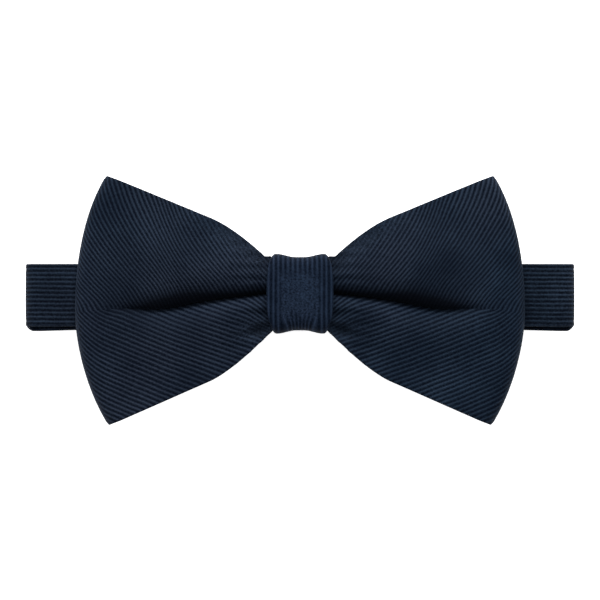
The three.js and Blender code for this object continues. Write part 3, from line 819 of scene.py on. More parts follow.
# ------------------------------------------------------------------ the wings
@dataclass
class Wing:
    """One wing: a strip of ribbed silk folded into a loop and gathered at the knot.

    Worked out on the left side; the right wing is its mirror image. Distances are from the middle
    of the tie outwards.
    """

    reach: float = 60.2
    top_setback: float = 8.2
    bottom_setback: float = 8.8
    middle_z: float = 10.8
    thickness: float = 0.8
    fold_radius: float = 3.2
    outer_rise: float = 4.0
    rib_pitch: float = 1.17
    top_reach: float = 33.2
    bottom_reach: float = 33.3
    lining_thickness: float = 0.4
    waist_y: float = 1.9
    waist_half: float = 7.7
    waist_spread: float = 0.9
    knot_edge: float = 8.9
    necking_reach: float = 24.0
    lining_gap: float = 0.3
    steps_front: int = 96
    steps_fold: int = 16
    steps_back: int = 56
    steps_lower: int = 46
    steps_upper: int = 54
    flat: tuple[float, float] = (0.068, 0.130)
    flat_area: float = 0.0066

    def top(self, distance: np.ndarray) -> np.ndarray:
        """Height of the upper long edge.

        Args:
            distance: Millimetres out from the middle of the tie.

        Returns:
            The height at each distance.
        """
        necking = 4.4 * (np.maximum(0, self.necking_reach - distance) / 14.4) ** 1.75
        outside = self.top_reach - 0.2 - 0.41 * (51.7 - distance) - necking
        outside = np.where(distance < 20, np.maximum(outside, 11.4), outside)
        spread = self.waist_spread * np.minimum(1, distance / self.knot_edge) ** 4
        return mix(self.waist_y + self.waist_half + spread, outside, ease(distance, 7.0, 8.0))

    def bottom(self, distance: np.ndarray) -> np.ndarray:
        """Height of the lower long edge.

        Args:
            distance: Millimetres out from the middle of the tie.

        Returns:
            The height at each distance.
        """
        necking = 5.1 * (np.maximum(0, self.necking_reach - distance) / 14.4) ** 1.6
        outside = -self.bottom_reach + 0.44 * (51.3 - distance) + necking
        spread = self.waist_spread * np.minimum(1, distance / self.knot_edge) ** 4
        return mix(self.waist_y - self.waist_half - spread, outside, ease(distance, 6.6, 7.8))

    def edge(self, v: np.ndarray) -> np.ndarray:
        """Reach of the outer fold.

        Args:
            v: Where along it, from -1 at the lower tip to 1 at the upper one.

        Returns:
            The distance from the middle of the tie.
        """
        size = np.abs(v)
        curve = np.where(v > 0, self.top_setback * size**2.15, self.bottom_setback * size**1.7)
        rounding = 0.15 * np.clip((size - 0.985) / 0.015, 0, 1) ** 2
        return self.reach - curve - rounding

    def crease_line(self, distance: np.ndarray) -> np.ndarray:
        """Height of the crease that runs out from the knot."""
        return 2.9 - 0.105 * distance - 1.05 * hump(distance, 37, 8)

    def crest(self, distance: np.ndarray) -> np.ndarray:
        """Rise of the lobes above the wing's middle plane."""
        inner = mix(3.5, 6.2, ease(distance, 2, 27))
        return mix(inner, self.outer_rise, ease(distance, 30, 58))

    def grid(self) -> dict[str, np.ndarray]:
        """The loop's rows: front from the waist out, the outer fold, and the back to the waist.

        Returns:
            Distance, cloth length along the strip, v, and how far round the fold, on one grid.
        """
        low = 1 - np.linspace(1, 0, self.steps_lower + 1) ** 1.45
        high = np.linspace(0, 1, self.steps_upper + 1)[1:] ** 1.45
        share = np.concatenate([low - 1, high])  # -1 lower edge, 0 the crease, 1 the upper edge
        front = np.linspace(0, 1, self.steps_front + 1)
        fold = np.linspace(0, math.pi, self.steps_fold + 2)[1:-1]
        back = np.linspace(1, 0, self.steps_back + 1)
        rows = [("front", t) for t in front] + [("fold", a) for a in fold]
        rows += [("back", t) for t in back]
        distance = np.zeros((len(rows), len(share)))
        length = np.zeros_like(distance)
        turn = np.zeros_like(distance)
        start = self.edge(share) - self.fold_radius
        for i, (kind, value) in enumerate(rows):
            if kind == "front":
                distance[i] = mix(0.15, start, value)
                length[i] = distance[i]
            elif kind == "fold":
                distance[i] = start + self.fold_radius * math.sin(value)
                length[i] = start + self.fold_radius * value
                turn[i] = value
            else:
                distance[i] = mix(0.15, start, value)
                length[i] = start + self.fold_radius * math.pi + (start - distance[i])
                turn[i] = math.pi
        top, bottom = self.top(distance), self.bottom(distance)
        middle = 2 * (self.crease_line(distance) - bottom) / (top - bottom) - 1
        middle = np.clip(middle, -0.6, 0.6)
        v = np.where(share < 0, middle + share * (middle + 1), middle + share * (1 - middle))
        return {"distance": distance, "length": length, "turn": turn, "v": v,
                "share": np.broadcast_to(share, distance.shape)}

    def surface(self, g: dict[str, np.ndarray]) -> np.ndarray:
        """Points of the cloth's good side.

        Args:
            g: The grid.

        Returns:
            The points, as the left wing has them.
        """
        d, share, turn = g["distance"], g["share"], g["turn"]
        y = mix(self.bottom(d), self.top(d), (g["v"] + 1) / 2)
        off = y - self.crease_line(d)  # millimetres above the crease
        size = np.abs(share)
        crest = self.crest(d)
        drop_at_edge = mix(0.52, 0.26, ease(d, 10, 44))
        fall = np.where(share < 0, ease(size, 0.12, 0.85), ease(size, 0.30, 1.05) ** 1.2)
        lobe = 1 - drop_at_edge * fall
        fade = 1 - ease(d, 26, 57)
        depth = (crest - 0.2) * fade
        upper_width = mix(1.5, 3.0, ease(d, 8, 40))
        lower_width = mix(1.3, 3.6, ease(d, 8, 42))
        width = np.where(off > 0, upper_width, lower_width)
        groove = np.exp(-((np.abs(off) / width) ** 1.35))
        rise = crest * lobe - depth * groove
        # the upper lobe rolls over the crease, and the lower one tucks in under it
        roll = mix(0.9, 2.0, ease(d, 10, 34)) * (1 - ease(d, 38, 55))
        bulge, spread = 0.8 * upper_width, 0.75 * upper_width
        over = np.where(off > 0, hump(off, bulge, spread), 0)
        over = over - np.where(off > 0, hump(0, bulge, spread) * np.exp(-off / 0.4), 0)
        y = y - roll * over
        # small gathers where the cloth goes under the knot
        near = 1 - ease(d, 9, 24)
        pleats = 0.22 * np.sin(y * 2.1 + 0.5 * np.sin(d * 0.35)) * near * ease(np.abs(off), 1.5, 4.0)
        ridge = 0.75 * hump(y, -5.9 - 0.10 * (d - 9), 0.75) * hump(d, 9.5, 3.6)
        dimple = 1.15 * hump(y, -7.9 - 0.10 * (d - 9), 1.2) * hump(d, 10.5, 3.0)
        puff = 0.28 * np.sin(d * 0.16 + 0.09 * y) * np.cos(y * 0.13) * ease(d, 12, 30)
        rise = rise + (pleats + ridge - dimple + puff) * (1 - ease(d, 46, 57))
        front = rise * np.where(turn > 0, np.maximum(np.cos(turn), 0), 1)
        wave = 0.10 * np.sin(d * 0.21) * np.cos(y * 0.17)
        back = -self.fold_radius * np.maximum(-np.cos(turn), 0) + np.where(turn >= math.pi, wave, 0)
        z = self.middle_z + np.where(turn < math.pi / 2, front, back)
        return np.stack([-d, y, z], -1)

    def rib_maps(self, g: dict[str, np.ndarray]) -> tuple[np.ndarray, np.ndarray]:
        """Cloth maps of the upper and of the lower lobe, which the crease parts.

        The strip is cut on the bias; the gathering turns its ribs steeper above the crease and
        flatter below it, and past the crease's outer end they run on from one to the other.

        Args:
            g: The grid.

        Returns:
            The two maps.
        """
        x = -g["length"]
        y = mix(self.bottom(g["distance"]), self.top(g["distance"]), (g["v"] + 1) / 2)
        off = y - self.crease_line(g["distance"])
        table = np.linspace(-130, 0, 1301)
        slope = 0.34 + 0.66 * (1 - ease(table, -61, -50)) + 0.003 * np.clip(-table - 20, 0, 40)
        run = np.concatenate([[0], np.cumsum((slope[1:] + slope[:-1]) / 2 * np.diff(table))])
        fall = np.interp(x, table, run)
        near = np.concatenate([[0], np.cumsum(ease(table, -17, -8)[1:] * np.diff(table))])
        pull = 1.9 * np.tanh(np.maximum(off, 0) / 1.8) * ease(g["distance"], 30, 40)
        upper = x + 1.08 * y - 0.013 * y**2 - pull
        lower = y + fall + 0.55 * np.interp(x, table, near) * ease(y, -11, -4)
        at = -58.0
        line = float(self.crease_line(np.array(-at)))
        join = (at + 1.08 * line - 0.013 * line**2) - (line + float(np.interp(at, table, run)))
        lower = lower + join
        blended = mix(lower, upper, ease(off, -5, 5))
        outer = ease(g["length"], 47, 54)
        scale = self.rib_pitch / 1.27
        first = mix(upper, blended, outer) * scale
        second = mix(lower, blended, outer) * scale
        along = 0.6 * x - 0.8 * y
        return np.stack([first, along], -1), np.stack([second, 0.92 * x - 0.4 * y], -1)

    def cloth(self) -> Cloth:
        """The wing's silk.

        Returns:
            The cloth, ready to build.
        """
        g = self.grid()
        points = self.surface(g)
        upper, lower = self.rib_maps(g)
        d, y = g["distance"], points[..., 1]
        off = y - self.crease_line(d)
        top_gap = self.top(d) - y
        smoothed = 0.85 * (1 - ease(top_gap, 1.0, 6.5)) * (1 - ease(d, 15, 34)) * ease(d, 8, 12)
        smoothed = np.maximum(smoothed, 0.7 * hump(y, -8.2, 2.4) * (1 - ease(d, 12, 20)))
        rim = 1 - ease(self.edge(g["v"]) - d, 0.25, 0.75)
        smoothed = np.maximum(smoothed, 0.8 * rim)
        # painted shade: near black along the crease, wider above it, fading out towards the outer fold
        fade = 1 - ease(d, 34, 55)
        width = np.where(off > 0, mix(1.8, 2.7, ease(d, 10, 36)), mix(0.7, 0.9, ease(d, 10, 36)))
        painted_shade = fade * np.exp(-((np.abs(off) / width) ** 2))
        # painted shade on the upper lobe's underside, which faces away from the light
        under = hump(d, 33, 9.5) * np.where(off > 0, np.exp(-((off / 4.6) ** 2)), 0)
        # painted shade along the top edge near the knot, where the cloth turns away from the light
        top_edge_shade = 0.30 * (1 - ease(top_gap, 0.5, 6.0)) * (1 - ease(d, 14, 26))
        # painted shade in the dimple below the knot
        dimple_shade = 0.5 * hump(y, -8.4, 1.3) * hump(d, 11.5, 2.8)
        painted_shade = np.clip(painted_shade + 0.7 * under + top_edge_shade + dimple_shade, 0, 1) * (g["turn"] == 0)
        cells = np.arange(points.shape[1] - 1) < self.steps_lower
        return Cloth(points, self.thickness, upper, second_map=lower, second_cells=cells,
                     smoothed=np.clip(smoothed, 0, 1), painted_shade=painted_shade, flip=True)

    def lining(self) -> Cloth:
        """The canvas inside the wing's loop.

        Returns:
            The cloth, ready to build.
        """
        silk = self.cloth()
        inset = silk.outer - silk.normals() * (self.thickness + self.lining_gap)
        keep = slice(3, -3)
        points = inset[::2, keep]
        plain = np.stack([points[..., 1], -self.grid()["length"][::2, keep]], -1)
        return Cloth(points, self.lining_thickness, plain, rim_steps=3, flip=True)

    def build(self, wardrobe: Wardrobe, side: str) -> None:
        """Builds and dresses one wing.

        Args:
            wardrobe: The materials.
            side: "left" or "right".
        """
        mirrored = side == "right"
        silk = self.cloth().build(f"{side}_wing", mirrored)
        wardrobe.fit(silk, Slot.WING, "bow", f"{side}_wing_front", f"{side}_wing_back")
        canvas = self.lining().build(f"{side}_wing_canvas", mirrored)
        wardrobe.fit(canvas, Slot.LINING, "bow", f"{side}_wing_interlining")
        log.info("%s wing: %d faces", side, len(silk.data.polygons))


# ------------------------------------------------------------------ the knot
@dataclass
class Knot:
    """The band of silk wrapped round the waist, its canvas, the binding under it and the tack."""

    half_width: float = 8.85
    centre_y: float = 1.9
    centre_z: float = 11.1
    top: float = 9.6
    bottom: float = 10.05
    half_depth: float = 6.9
    thickness: float = 0.8
    squareness: float = 4.2
    corner_flare: float = 0.85
    steps_round: int = 180
    steps_across: int = 48
    thread: float = 0.4
    tack_z: float = 3.5
    lining_half: float = 7.4
    lining_inset: float = 1.1
    lining_length: float = 58.0
    lining_thickness: float = 0.4
    winding_inset: float = 1.95

    def ring(self, grow: float, squareness: float, steps: int) -> tuple[np.ndarray, np.ndarray]:
        """A rounded rectangle round the waist, in the plane across the tie.

        Args:
            grow: Millimetres outside the knot's plain outline.
            squareness: Exponent of the superellipse.
            steps: Points round it.

        Returns:
            Heights and depths, evenly spaced along the ring, from its back.
        """
        angle = np.linspace(-math.pi / 2, 1.5 * math.pi, 2400)
        power = 2 / squareness
        cosine, sine = np.cos(angle), np.sin(angle)
        tall = np.where(cosine > 0, self.top, self.bottom) + grow
        y = self.centre_y + tall * np.sign(cosine) * np.abs(cosine) ** power
        z = self.centre_z + (self.half_depth + grow) * np.sign(sine) * np.abs(sine) ** power
        length = np.concatenate([[0], np.cumsum(np.hypot(np.diff(y), np.diff(z)))])
        at = np.linspace(0, length[-1], steps, endpoint=False)
        return np.interp(at, length, y), np.interp(at, length, z)

    def cloth(self) -> Cloth:
        """The knot's silk: its sides flare and roll in, and its middle sags between them.

        Returns:
            The cloth, ready to build.
        """
        y, z = self.ring(0, self.squareness, self.steps_round)
        ring = np.stack([np.zeros_like(y), y, z], -1)
        ahead = unit(np.roll(ring, -1, axis=0) - np.roll(ring, 1, axis=0))
        out = np.cross(ahead, [1.0, 0.0, 0.0])
        if (out * (ring - [0, self.centre_y, self.centre_z])).sum() < 0:
            out = -out
        share = np.linspace(-1, 1, self.steps_across + 1)
        share = np.sign(share) * np.abs(share) ** 0.85
        upright = np.abs(out[:, 1])[:, None]
        facing = np.clip(out[:, 2], 0, 1)[:, None]
        height = (ring[:, 1] - self.centre_y)[:, None] / self.top
        narrowing = 0.4 * ease(np.abs(height), 0.3, 0.8) + 0.6 * ease(np.abs(height), 0.72, 1.04)
        waist = self.half_width - narrowing - 0.3 * ease(-height, 0.6, 1.0)
        x = waist * share[None, :]
        size = np.abs(share)[None, :]
        flare = self.corner_flare * upright + 0.22 * facing
        lift = flare * (ease(size, 0.15, 0.80) - 1.5 * ease(size, 0.84, 1.05) ** 1.2)
        roll = -0.25 * ease(size, 0.95, 1.0) * (0.4 + 0.6 * facing)
        bead = facing * (0.30 * hump(size, 0.955, 0.035) - 0.30 * hump(size, 0.88, 0.035))
        sag = 0.18 * facing * (1 - size**2) * np.cos(height * 1.5)
        points = ring[:, None, :] + out[:, None, :] * (lift + roll + sag + bead)[..., None]
        points[..., 0] = x
        points[..., 2] += 0.05 * np.sin(points[..., 1] * 1.3 + points[..., 0]) * facing
        # ribs run round the ring, and draw together at the foot of the front
        foot = ease(-points[..., 1], 2.6, 8.2) * np.clip(facing + upright * 0.9, 0, 1)
        within = 1 - ease(np.abs(points[..., 0]), 2.2, 5.4)
        across = points[..., 0] * (1 + 0.5 * foot * within)
        length = run_along(ring)
        along = np.broadcast_to(length[:, None], across.shape)
        calm = facing * (1 - ease(np.abs(points[..., 0]), 4.2, 6.0))
        calm = calm * (1 - ease(points[..., 1], 5.0, 9.0)) * ease(points[..., 1], -6.5, -2.5)
        edge = ease(size, 0.975, 0.995) * np.ones_like(across)
        smoothed = np.maximum(0.95 * calm, 0.95 * edge)
        cloth_map = np.stack([across, along], -1)
        return Cloth(points, self.thickness, cloth_map, wrap=True, smoothed=smoothed)

    def lining(self) -> Cloth:
        """The canvas ring inside the knot.

        Returns:
            The cloth, ready to build.
        """
        rows, columns = 96, 13
        ring = self.ring(-self.lining_inset, self.squareness + 1, rows)
        y, z = (np.repeat(part[:, None], columns, 1) for part in ring)
        x = np.broadcast_to(self.lining_half * np.linspace(-1, 1, columns), (rows, columns))
        length = np.repeat(np.linspace(0, self.lining_length, rows)[:, None], columns, 1)
        points, cloth_map = np.stack([x, y, z], -1), np.stack([x, length], -1)
        return Cloth(points, self.lining_thickness, cloth_map, wrap=True, rim_steps=3)

    def binding(self) -> bpy.types.Object:
        """Turns of thread round the gathered waist, as one winding.

        Returns:
            The winding.
        """
        turns, steps = 6, 120
        y, z = self.ring(-self.winding_inset, 9, steps)
        path = [((i / steps - turns / 2) * self.thread * 0.99, y[i % steps], z[i % steps])
                for i in range(turns * steps + 1)]
        return thread_tube("waist_winding", path, self.thread / 2)

    def tack(self) -> bpy.types.Object:
        """Hand stitches over the seam at the back of the knot.

        Returns:
            The stitches.
        """
        knots = [(-4 + i, self.centre_y + (0.8 if i % 2 else -0.8)) for i in range(9)]
        path = []
        for (x0, y0), (x1, y1) in zip(knots, knots[1:]):
            for t in np.linspace(0, 1, 9)[:-1]:
                lift = 0.14 * math.sin(t * math.pi)
                path.append((x0 + (x1 - x0) * t, y0 + (y1 - y0) * t, self.tack_z + 0.1 - lift))
        return thread_tube("knot_stitches", path, 0.18)

    def build(self, wardrobe: Wardrobe) -> None:
        """Builds and dresses the knot's pieces.

        Args:
            wardrobe: The materials.
        """
        silk = self.cloth().build("knot")
        canvas = self.lining().build("knot_canvas")
        winding, stitches = self.binding(), self.tack()
        for piece, slot, node in (
            (silk, Slot.KNOT, "knot_band"), (canvas, Slot.LINING, "knot_interlining"),
            (winding, Slot.THREAD, "waist_binding"), (stitches, Slot.THREAD, "knot_tack"),
        ):
            wardrobe.fit(piece, slot, "bow", node)
        log.info("knot: silk, canvas, winding and stitches")


# ------------------------------------------------------------------ the neck band
class SidePath:
    """A path in the plane along the band and out of it, drawn step by step in millimetres."""

    def __init__(self, along: float, height: float) -> None:
        """Starts the path.

        Args:
            along: Start along the band.
            height: Start height.
        """
        self.points: list[tuple[float, float]] = [(along, height)]

    def line(self, along: float, height: float) -> "SidePath":
        """Adds a straight stretch, with a point about every millimetre.

        Args:
            along: Where it ends along the band.
            height: The height it ends at.

        Returns:
            The path.
        """
        x0, z0 = self.points[-1]
        count = max(1, round(math.hypot(along - x0, height - z0) / 1.0))
        for i in range(1, count + 1):
            self.points.append((x0 + (along - x0) * i / count, z0 + (height - z0) * i / count))
        return self

    def curve(self, along: float, height: float) -> "SidePath":
        """Adds an S-curve that starts and ends level.

        Args:
            along: Where it ends along the band.
            height: The height it ends at.

        Returns:
            The path.
        """
        x0, z0 = self.points[-1]
        middle = 1.5 * (x0 + along)
        for i in range(1, 13):
            t = i / 12
            x = x0 * (1 - t) ** 3 + middle * t * (1 - t) ** 2 + middle * t**2 * (1 - t) + along * t**3
            z = z0 * ((1 - t) ** 3 + 3 * t * (1 - t) ** 2) + height * (3 * t**2 * (1 - t) + t**3)
            self.points.append((x, z))
        return self

    def arc(self, along: float, height: float, radius: float, start: float, end: float) -> "SidePath":
        """Adds an arc, with its angles in quarter turns.

        Args:
            along: Its centre along the band.
            height: Its centre's height.
            radius: Its radius.
            start: The angle it starts at.
            end: The angle it ends at.

        Returns:
            The path.
        """
        count = max(4, round(abs(end - start) * 9))
        for i in range(count + 1):
            angle = (start + (end - start) * i / count) * math.pi / 2
            point = (along + radius * math.cos(angle), height + radius * math.sin(angle))
            if math.dist(point, self.points[-1]) > 0.02:
                self.points.append(point)
        return self

    def array(self) -> np.ndarray:
        """The points as rows."""
        return np.array(self.points)


class Side(Enum):
    """The two halves of the neck band, by the sign of X."""

    LEFT = -1
    RIGHT = 1


@dataclass
class NeckBand:
    """The long flat band: its front run, its two folds, and the lengths of its back runs."""

    width: float = 16.8
    thickness: float = 0.8
    centre_y: float = 1.3
    fold_start: float = 70.15
    fold_end: float = 64.15
    front_end: float = 58.0
    fold_radius: float = 3.25
    fold_axis_z: float = 3.65
    fold_drop: float = 1.3
    tilt: float = math.radians(1.6)
    front_z: float = 6.9
    back_z: float = 0.4
    clear: float = 0.3
    layer: float = 1.1
    bar_z: float = 1.5
    bar_turn: float = 1.1
    upper_z: float = 2.6
    slide_z: float = 2.6
    over_z: float = 4.8
    bar: float = 1.0
    hook_bar: float = 51.275
    eye_bar: float = 53.075
    slide_at: float = 29.775
    upright: float = 3.0
    slide_half: float = 5.5
    threaded_half: float = 9.0
    outer_bar: float = 1.6
    turn_lead: float = 1.5  # flat cloth on the near side of the hook's bar
    eye_lap: float = 8.0  # from the eye's bar back to where the run begins
    eye_foot: float = 5.0  # from the eye's bar back to where the turned end lies down
    eye_flap: float = 2.4  # length of the end that lies on the run
    fold_length: float = 11.1  # half of a fold, as it is cut
    drawn_half: float = 7.2  # half width inside the knot
    drawn_y: float = 1.9  # middle of the band inside the knot
    columns: int = 57
    names: list[str] = field(default_factory=list)

    @property
    def back_start_y(self) -> float:
        """Middle of the back run where the fold ends."""
        return self.centre_y - self.fold_drop + (self.fold_start - self.fold_end) * math.tan(self.tilt)

    def section(self) -> tuple[np.ndarray, np.ndarray]:
        """The band's cross section, with a pressed line inside each hem.

        Returns:
            Places across the band, and the good side's small relief at each.
        """
        half = self.width / 2 - self.thickness / 2
        across = np.linspace(-half, half, self.columns)
        groove = 0.10 * (hump(np.abs(across), self.width / 2 - 1.45, 0.30))
        plump = 0.05 * np.cos(across / half * math.pi / 2)
        return across, plump - groove

    def frame_of(self, side: Side) -> tuple[np.ndarray, np.ndarray, np.ndarray]:
        """Origin, way along and way across of a back run.

        Args:
            side: Which half of the band.

        Returns:
            Three vectors; the way along leads from the fold to the middle of the tie.
        """
        turn = self.tilt if side is Side.LEFT else math.pi - self.tilt
        origin = np.array([side.value * self.fold_end, self.back_start_y, 0.0])
        way = np.array([math.cos(turn), math.sin(turn), 0])
        return origin, way, np.array([-math.sin(turn), math.cos(turn), 0])

    def strip(self, path: np.ndarray, side: Side) -> Cloth:
        """A length of the band along a side path.

        Args:
            path: Along and height, in the back run's own frame.
            side: Which half of the band.

        Returns:
            The cloth, ready to build.
        """
        origin, along, across_way = self.frame_of(side)
        step = unit(np.gradient(path, axis=0))
        normal = np.stack([-step[:, 1], step[:, 0]], -1)
        across, relief = self.section()
        up = np.array([0, 0, 1.0])
        centre = origin + path[:, :1] * along + path[:, 1:] * up
        out = normal[:, :1] * along + normal[:, 1:] * up
        points = centre[:, None, :] + across[None, :, None] * across_way
        points = points + out[:, None, :] * (self.thickness / 2 + relief)[None, :, None]
        return Cloth(points, self.thickness, self.band_map(path, across))

    def band_map(self, path: np.ndarray, across: np.ndarray) -> np.ndarray:
        """The cloth map of a strip: ribs run along it.

        Args:
            path: Points along it.
            across: Places across it.

        Returns:
            The map.
        """
        length = run_along(path)
        rows = np.repeat((across + 0.58)[None, :], len(path), 0)
        return np.stack([rows, np.repeat(length[:, None], len(across), 1)], -1)

    def front(self) -> Cloth:
        """The front run, drawn in where it passes through the knot.

        Returns:
            The cloth, ready to build.
        """
        x = np.linspace(-self.front_end, self.front_end, 118)
        across, relief = self.section()
        out = ease(np.abs(x), 8.4, 14.9)
        half = mix(self.drawn_half / (self.width / 2), 1.0, out)[:, None]
        centre = mix(self.drawn_y, self.centre_y, out)[:, None]
        y = centre + across[None, :] * half
        z = self.front_z + self.thickness / 2 + np.repeat(relief[None, :], len(x), 0)
        points = np.stack([np.repeat(x[:, None], len(across), 1), y, z], -1)
        return Cloth(points, self.thickness, self.band_map(np.stack([x, x * 0], -1), across))

    def fold(self, front_half: bool) -> Cloth:
        """Half of the left fold: the flat lead and a quarter turn up to the crest, or the rest.

        Args:
            front_half: Whether it is the half that starts on the front run.

        Returns:
            The cloth, ready to build.
        """
        turn_length = math.pi * self.fold_radius
        lead_length = self.fold_start - self.fold_end
        total = turn_length + 2 * lead_length
        # the front half starts under the wing, where its join with the front run can't be seen
        ends = (self.front_end - self.fold_end, total / 2) if front_half else (total / 2, total)
        along = np.linspace(*ends, 48)
        across, relief = self.section()
        angle = np.clip((along - lead_length) / self.fold_radius, 0, math.pi)
        past = np.maximum(0, along - lead_length - turn_length)
        lead = np.where(along < lead_length, lead_length - along, past)
        height = self.thickness / 2 + relief[None, :]
        radius = self.fold_radius + height
        distance = (self.fold_start - lead)[:, None] + radius * np.sin(angle)[:, None]
        climb = np.where(angle == math.pi, lead * math.tan(self.tilt), 0)
        drop = self.fold_drop * ease(angle, 0.5 * math.pi, 0.82 * math.pi)
        skew = np.where(angle == math.pi, lead / lead_length, 0) * math.sin(self.tilt)
        distance = distance + skew[:, None] * across[None, :]
        y = (self.centre_y - drop + climb)[:, None] + across[None, :]
        z = self.fold_axis_z + radius * np.cos(angle)[:, None]
        points = np.stack([-distance, y, z], -1)
        cloth_map = self.band_map(np.stack([along, along * 0], -1), across)
        return Cloth(points, self.thickness, cloth_map, flip=True)

    def threaded(self) -> np.ndarray:
        """The way up through the slide, over its centre bar and down again.

        Returns:
            The path, along and height.
        """
        at, under, over = self.slide_at, self.slide_z - self.bar_turn, self.over_z
        r, turn = self.bar_turn, self.upright + self.bar_turn
        top = self.upright - self.bar_turn
        path = SidePath(at - self.threaded_half, self.back_z).curve(at - self.slide_half, under)
        path.line(at - turn, under).arc(at - turn, self.slide_z, r, -1, 0)
        path.line(at - self.upright, over - r).arc(at - top, over - r, r, 2, 1)
        path.line(at + top, over).arc(at + top, over - r, r, 1, 0)
        path.line(at + self.upright, self.slide_z).arc(at + turn, self.slide_z, r, 2, 3)
        path.line(at + self.slide_half, under).curve(at + self.threaded_half, self.upper_z)
        return path.array()

    def sewn_end(self) -> np.ndarray:
        """The band's end, turned round the slide's centre bar.

        Returns:
            The path, along and height.
        """
        at, half = self.slide_at, self.bar / 2
        path = SidePath(at + self.threaded_half, self.back_z)
        middle, r = self.slide_z, self.bar_turn
        path.line(at + self.slide_half - self.outer_bar, self.back_z).curve(at + half, middle - r)
        path.line(at - half, middle - r).arc(at - half, middle, r, 3, 1)
        path.line(at + half, middle + r).arc(at + half, middle, r, 1, 0.2)
        return path.array()

    def hook_turn(self) -> np.ndarray:
        """The band's turn round the hook's bar.

        Returns:
            The path, along and height.
        """
        turn, start = self.hook_bar + self.bar / 2, self.hook_bar - self.turn_lead
        path = SidePath(start, self.back_z).line(turn, self.back_z)
        return path.arc(turn, self.bar_z, self.bar_turn, -1, 1).line(start, self.upper_z).array()

    def eye_turn(self) -> np.ndarray:
        """The other end, turned round the eye's bar and sewn down on the run.

        Returns:
            The path, along and height.
        """
        turn, foot = self.eye_bar + self.bar / 2, self.eye_bar - self.eye_foot
        path = SidePath(self.eye_bar - self.eye_lap, self.back_z).line(turn, self.back_z)
        path.arc(turn, self.bar_z, self.bar_turn, -1, 1).line(self.eye_bar - 1, self.upper_z)
        level = self.back_z + self.layer
        return path.curve(foot, level).line(foot - self.eye_flap, level).array()

    def place(self, side: Side, along: float, height: float = 0.4) -> tuple[float, float, float]:
        """A point of a back run in the row frame, in metres.

        Args:
            side: Which half of the band.
            along: Millimetres from the fold.
            height: Millimetres above the floor.

        Returns:
            The point.
        """
        origin, way, _ = self.frame_of(side)
        x, y, _ = (origin + along * way) * MM
        return float(x), float(y), height * MM

    def finish_piece(
        self, piece: bpy.types.Object, wardrobe: Wardrobe, node: str
    ) -> None:
        """Args:
            piece: The length of band.
            wardrobe: The materials.
            node: The CAD node it stands for.
        """
        wardrobe.dress(piece, Slot.BAND)
        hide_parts(node)
        self.names.append(piece.name)

    def build(self, wardrobe: Wardrobe) -> None:
        """Builds and dresses every length of the band.

        Args:
            wardrobe: The materials.
        """
        front = self.front().build("band_front")
        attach(front, "bow")
        self.finish_piece(front, wardrobe, "band_front_run")
        crest = (self.fold_start + self.fold_radius) * MM
        lead, level = self.fold_end * MM, self.front_z * MM
        for side in Side:
            sign, body = side.value, f"{side.name.lower()}_band"
            for front_half in (True, False):
                part = "front" if front_half else "back"
                name = f"{side.name.lower()}_fold_{part}"
                piece = self.fold(front_half).build(name, mirrored=side is Side.RIGHT)
                span = crest - lead
                if front_half:
                    start, end = (sign * lead, 0, level), (sign * (lead + 2 * span), 0, level)
                else:
                    start, end = (sign * (crest + span), 0, level), (sign * lead, 0, level)
                if side is Side.LEFT:
                    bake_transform(piece)
                    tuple(start)
                    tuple(end)
                else:
                    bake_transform(piece)
                    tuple(end)
                    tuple(start)
                self.finish_piece(piece, wardrobe, f"{body}_fold")
        self.back_runs(wardrobe)
        log.info("neck band: %s", ", ".join(self.names))

    def back_runs(self, wardrobe: Wardrobe) -> None:
        """Builds the lengths of the two back runs.

        Args:
            wardrobe: The materials.
        """
        threaded_start = self.slide_at - self.threaded_half
        threaded_end = self.slide_at + self.threaded_half
        turn_start = self.hook_bar - self.turn_lead
        left, right = Side.LEFT, Side.RIGHT

        def flat_run(low: float, high: float, level: float) -> np.ndarray:
            """A level path from low to high."""
            return SidePath(low, level).line(high, level).array()

        run = self.strip(flat_run(0.0, threaded_start, self.back_z), left).build("left_run")
        self.place(left, 1.0)
        self.place(left, threaded_start)
        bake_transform(run)
        self.finish_piece(run, wardrobe, "left_band_run")
        right_run = flat_run(0.0, self.eye_bar - self.eye_lap, self.back_z)
        for name, path, side, body, node in (
            ("band_over_slide", self.threaded(), left, "slide", "band_through_slide"),
            ("sewn_end_at_slide", self.sewn_end(), left, "slide", "slide_bar_loop"),
            ("band_round_hook_bar", self.hook_turn(), left, "hook_end", "hook_bar_loop"),
            ("sewn_end_at_eye", self.eye_turn(), right, "right_band", "eye_bar_loop"),
            ("right_run", right_run, right, "right_band", "right_band_run"),
        ):
            piece = self.strip(path, side).build(name)
            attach(piece, body)
            length = float(np.linalg.norm(np.diff(path, axis=0), axis=1).sum())
            self.finish_piece(piece, wardrobe, node)
        for name, level, node in (
            ("outer_run", self.upper_z, "band_outer_run"), ("return_run", self.back_z, "band_return_run"),
        ):
            piece = self.strip(flat_run(threaded_end, turn_start, level), left).build(name)
            self.place(left, threaded_end)
            self.place(left, turn_start)
            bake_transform(piece)
            self.finish_piece(piece, wardrobe, node)


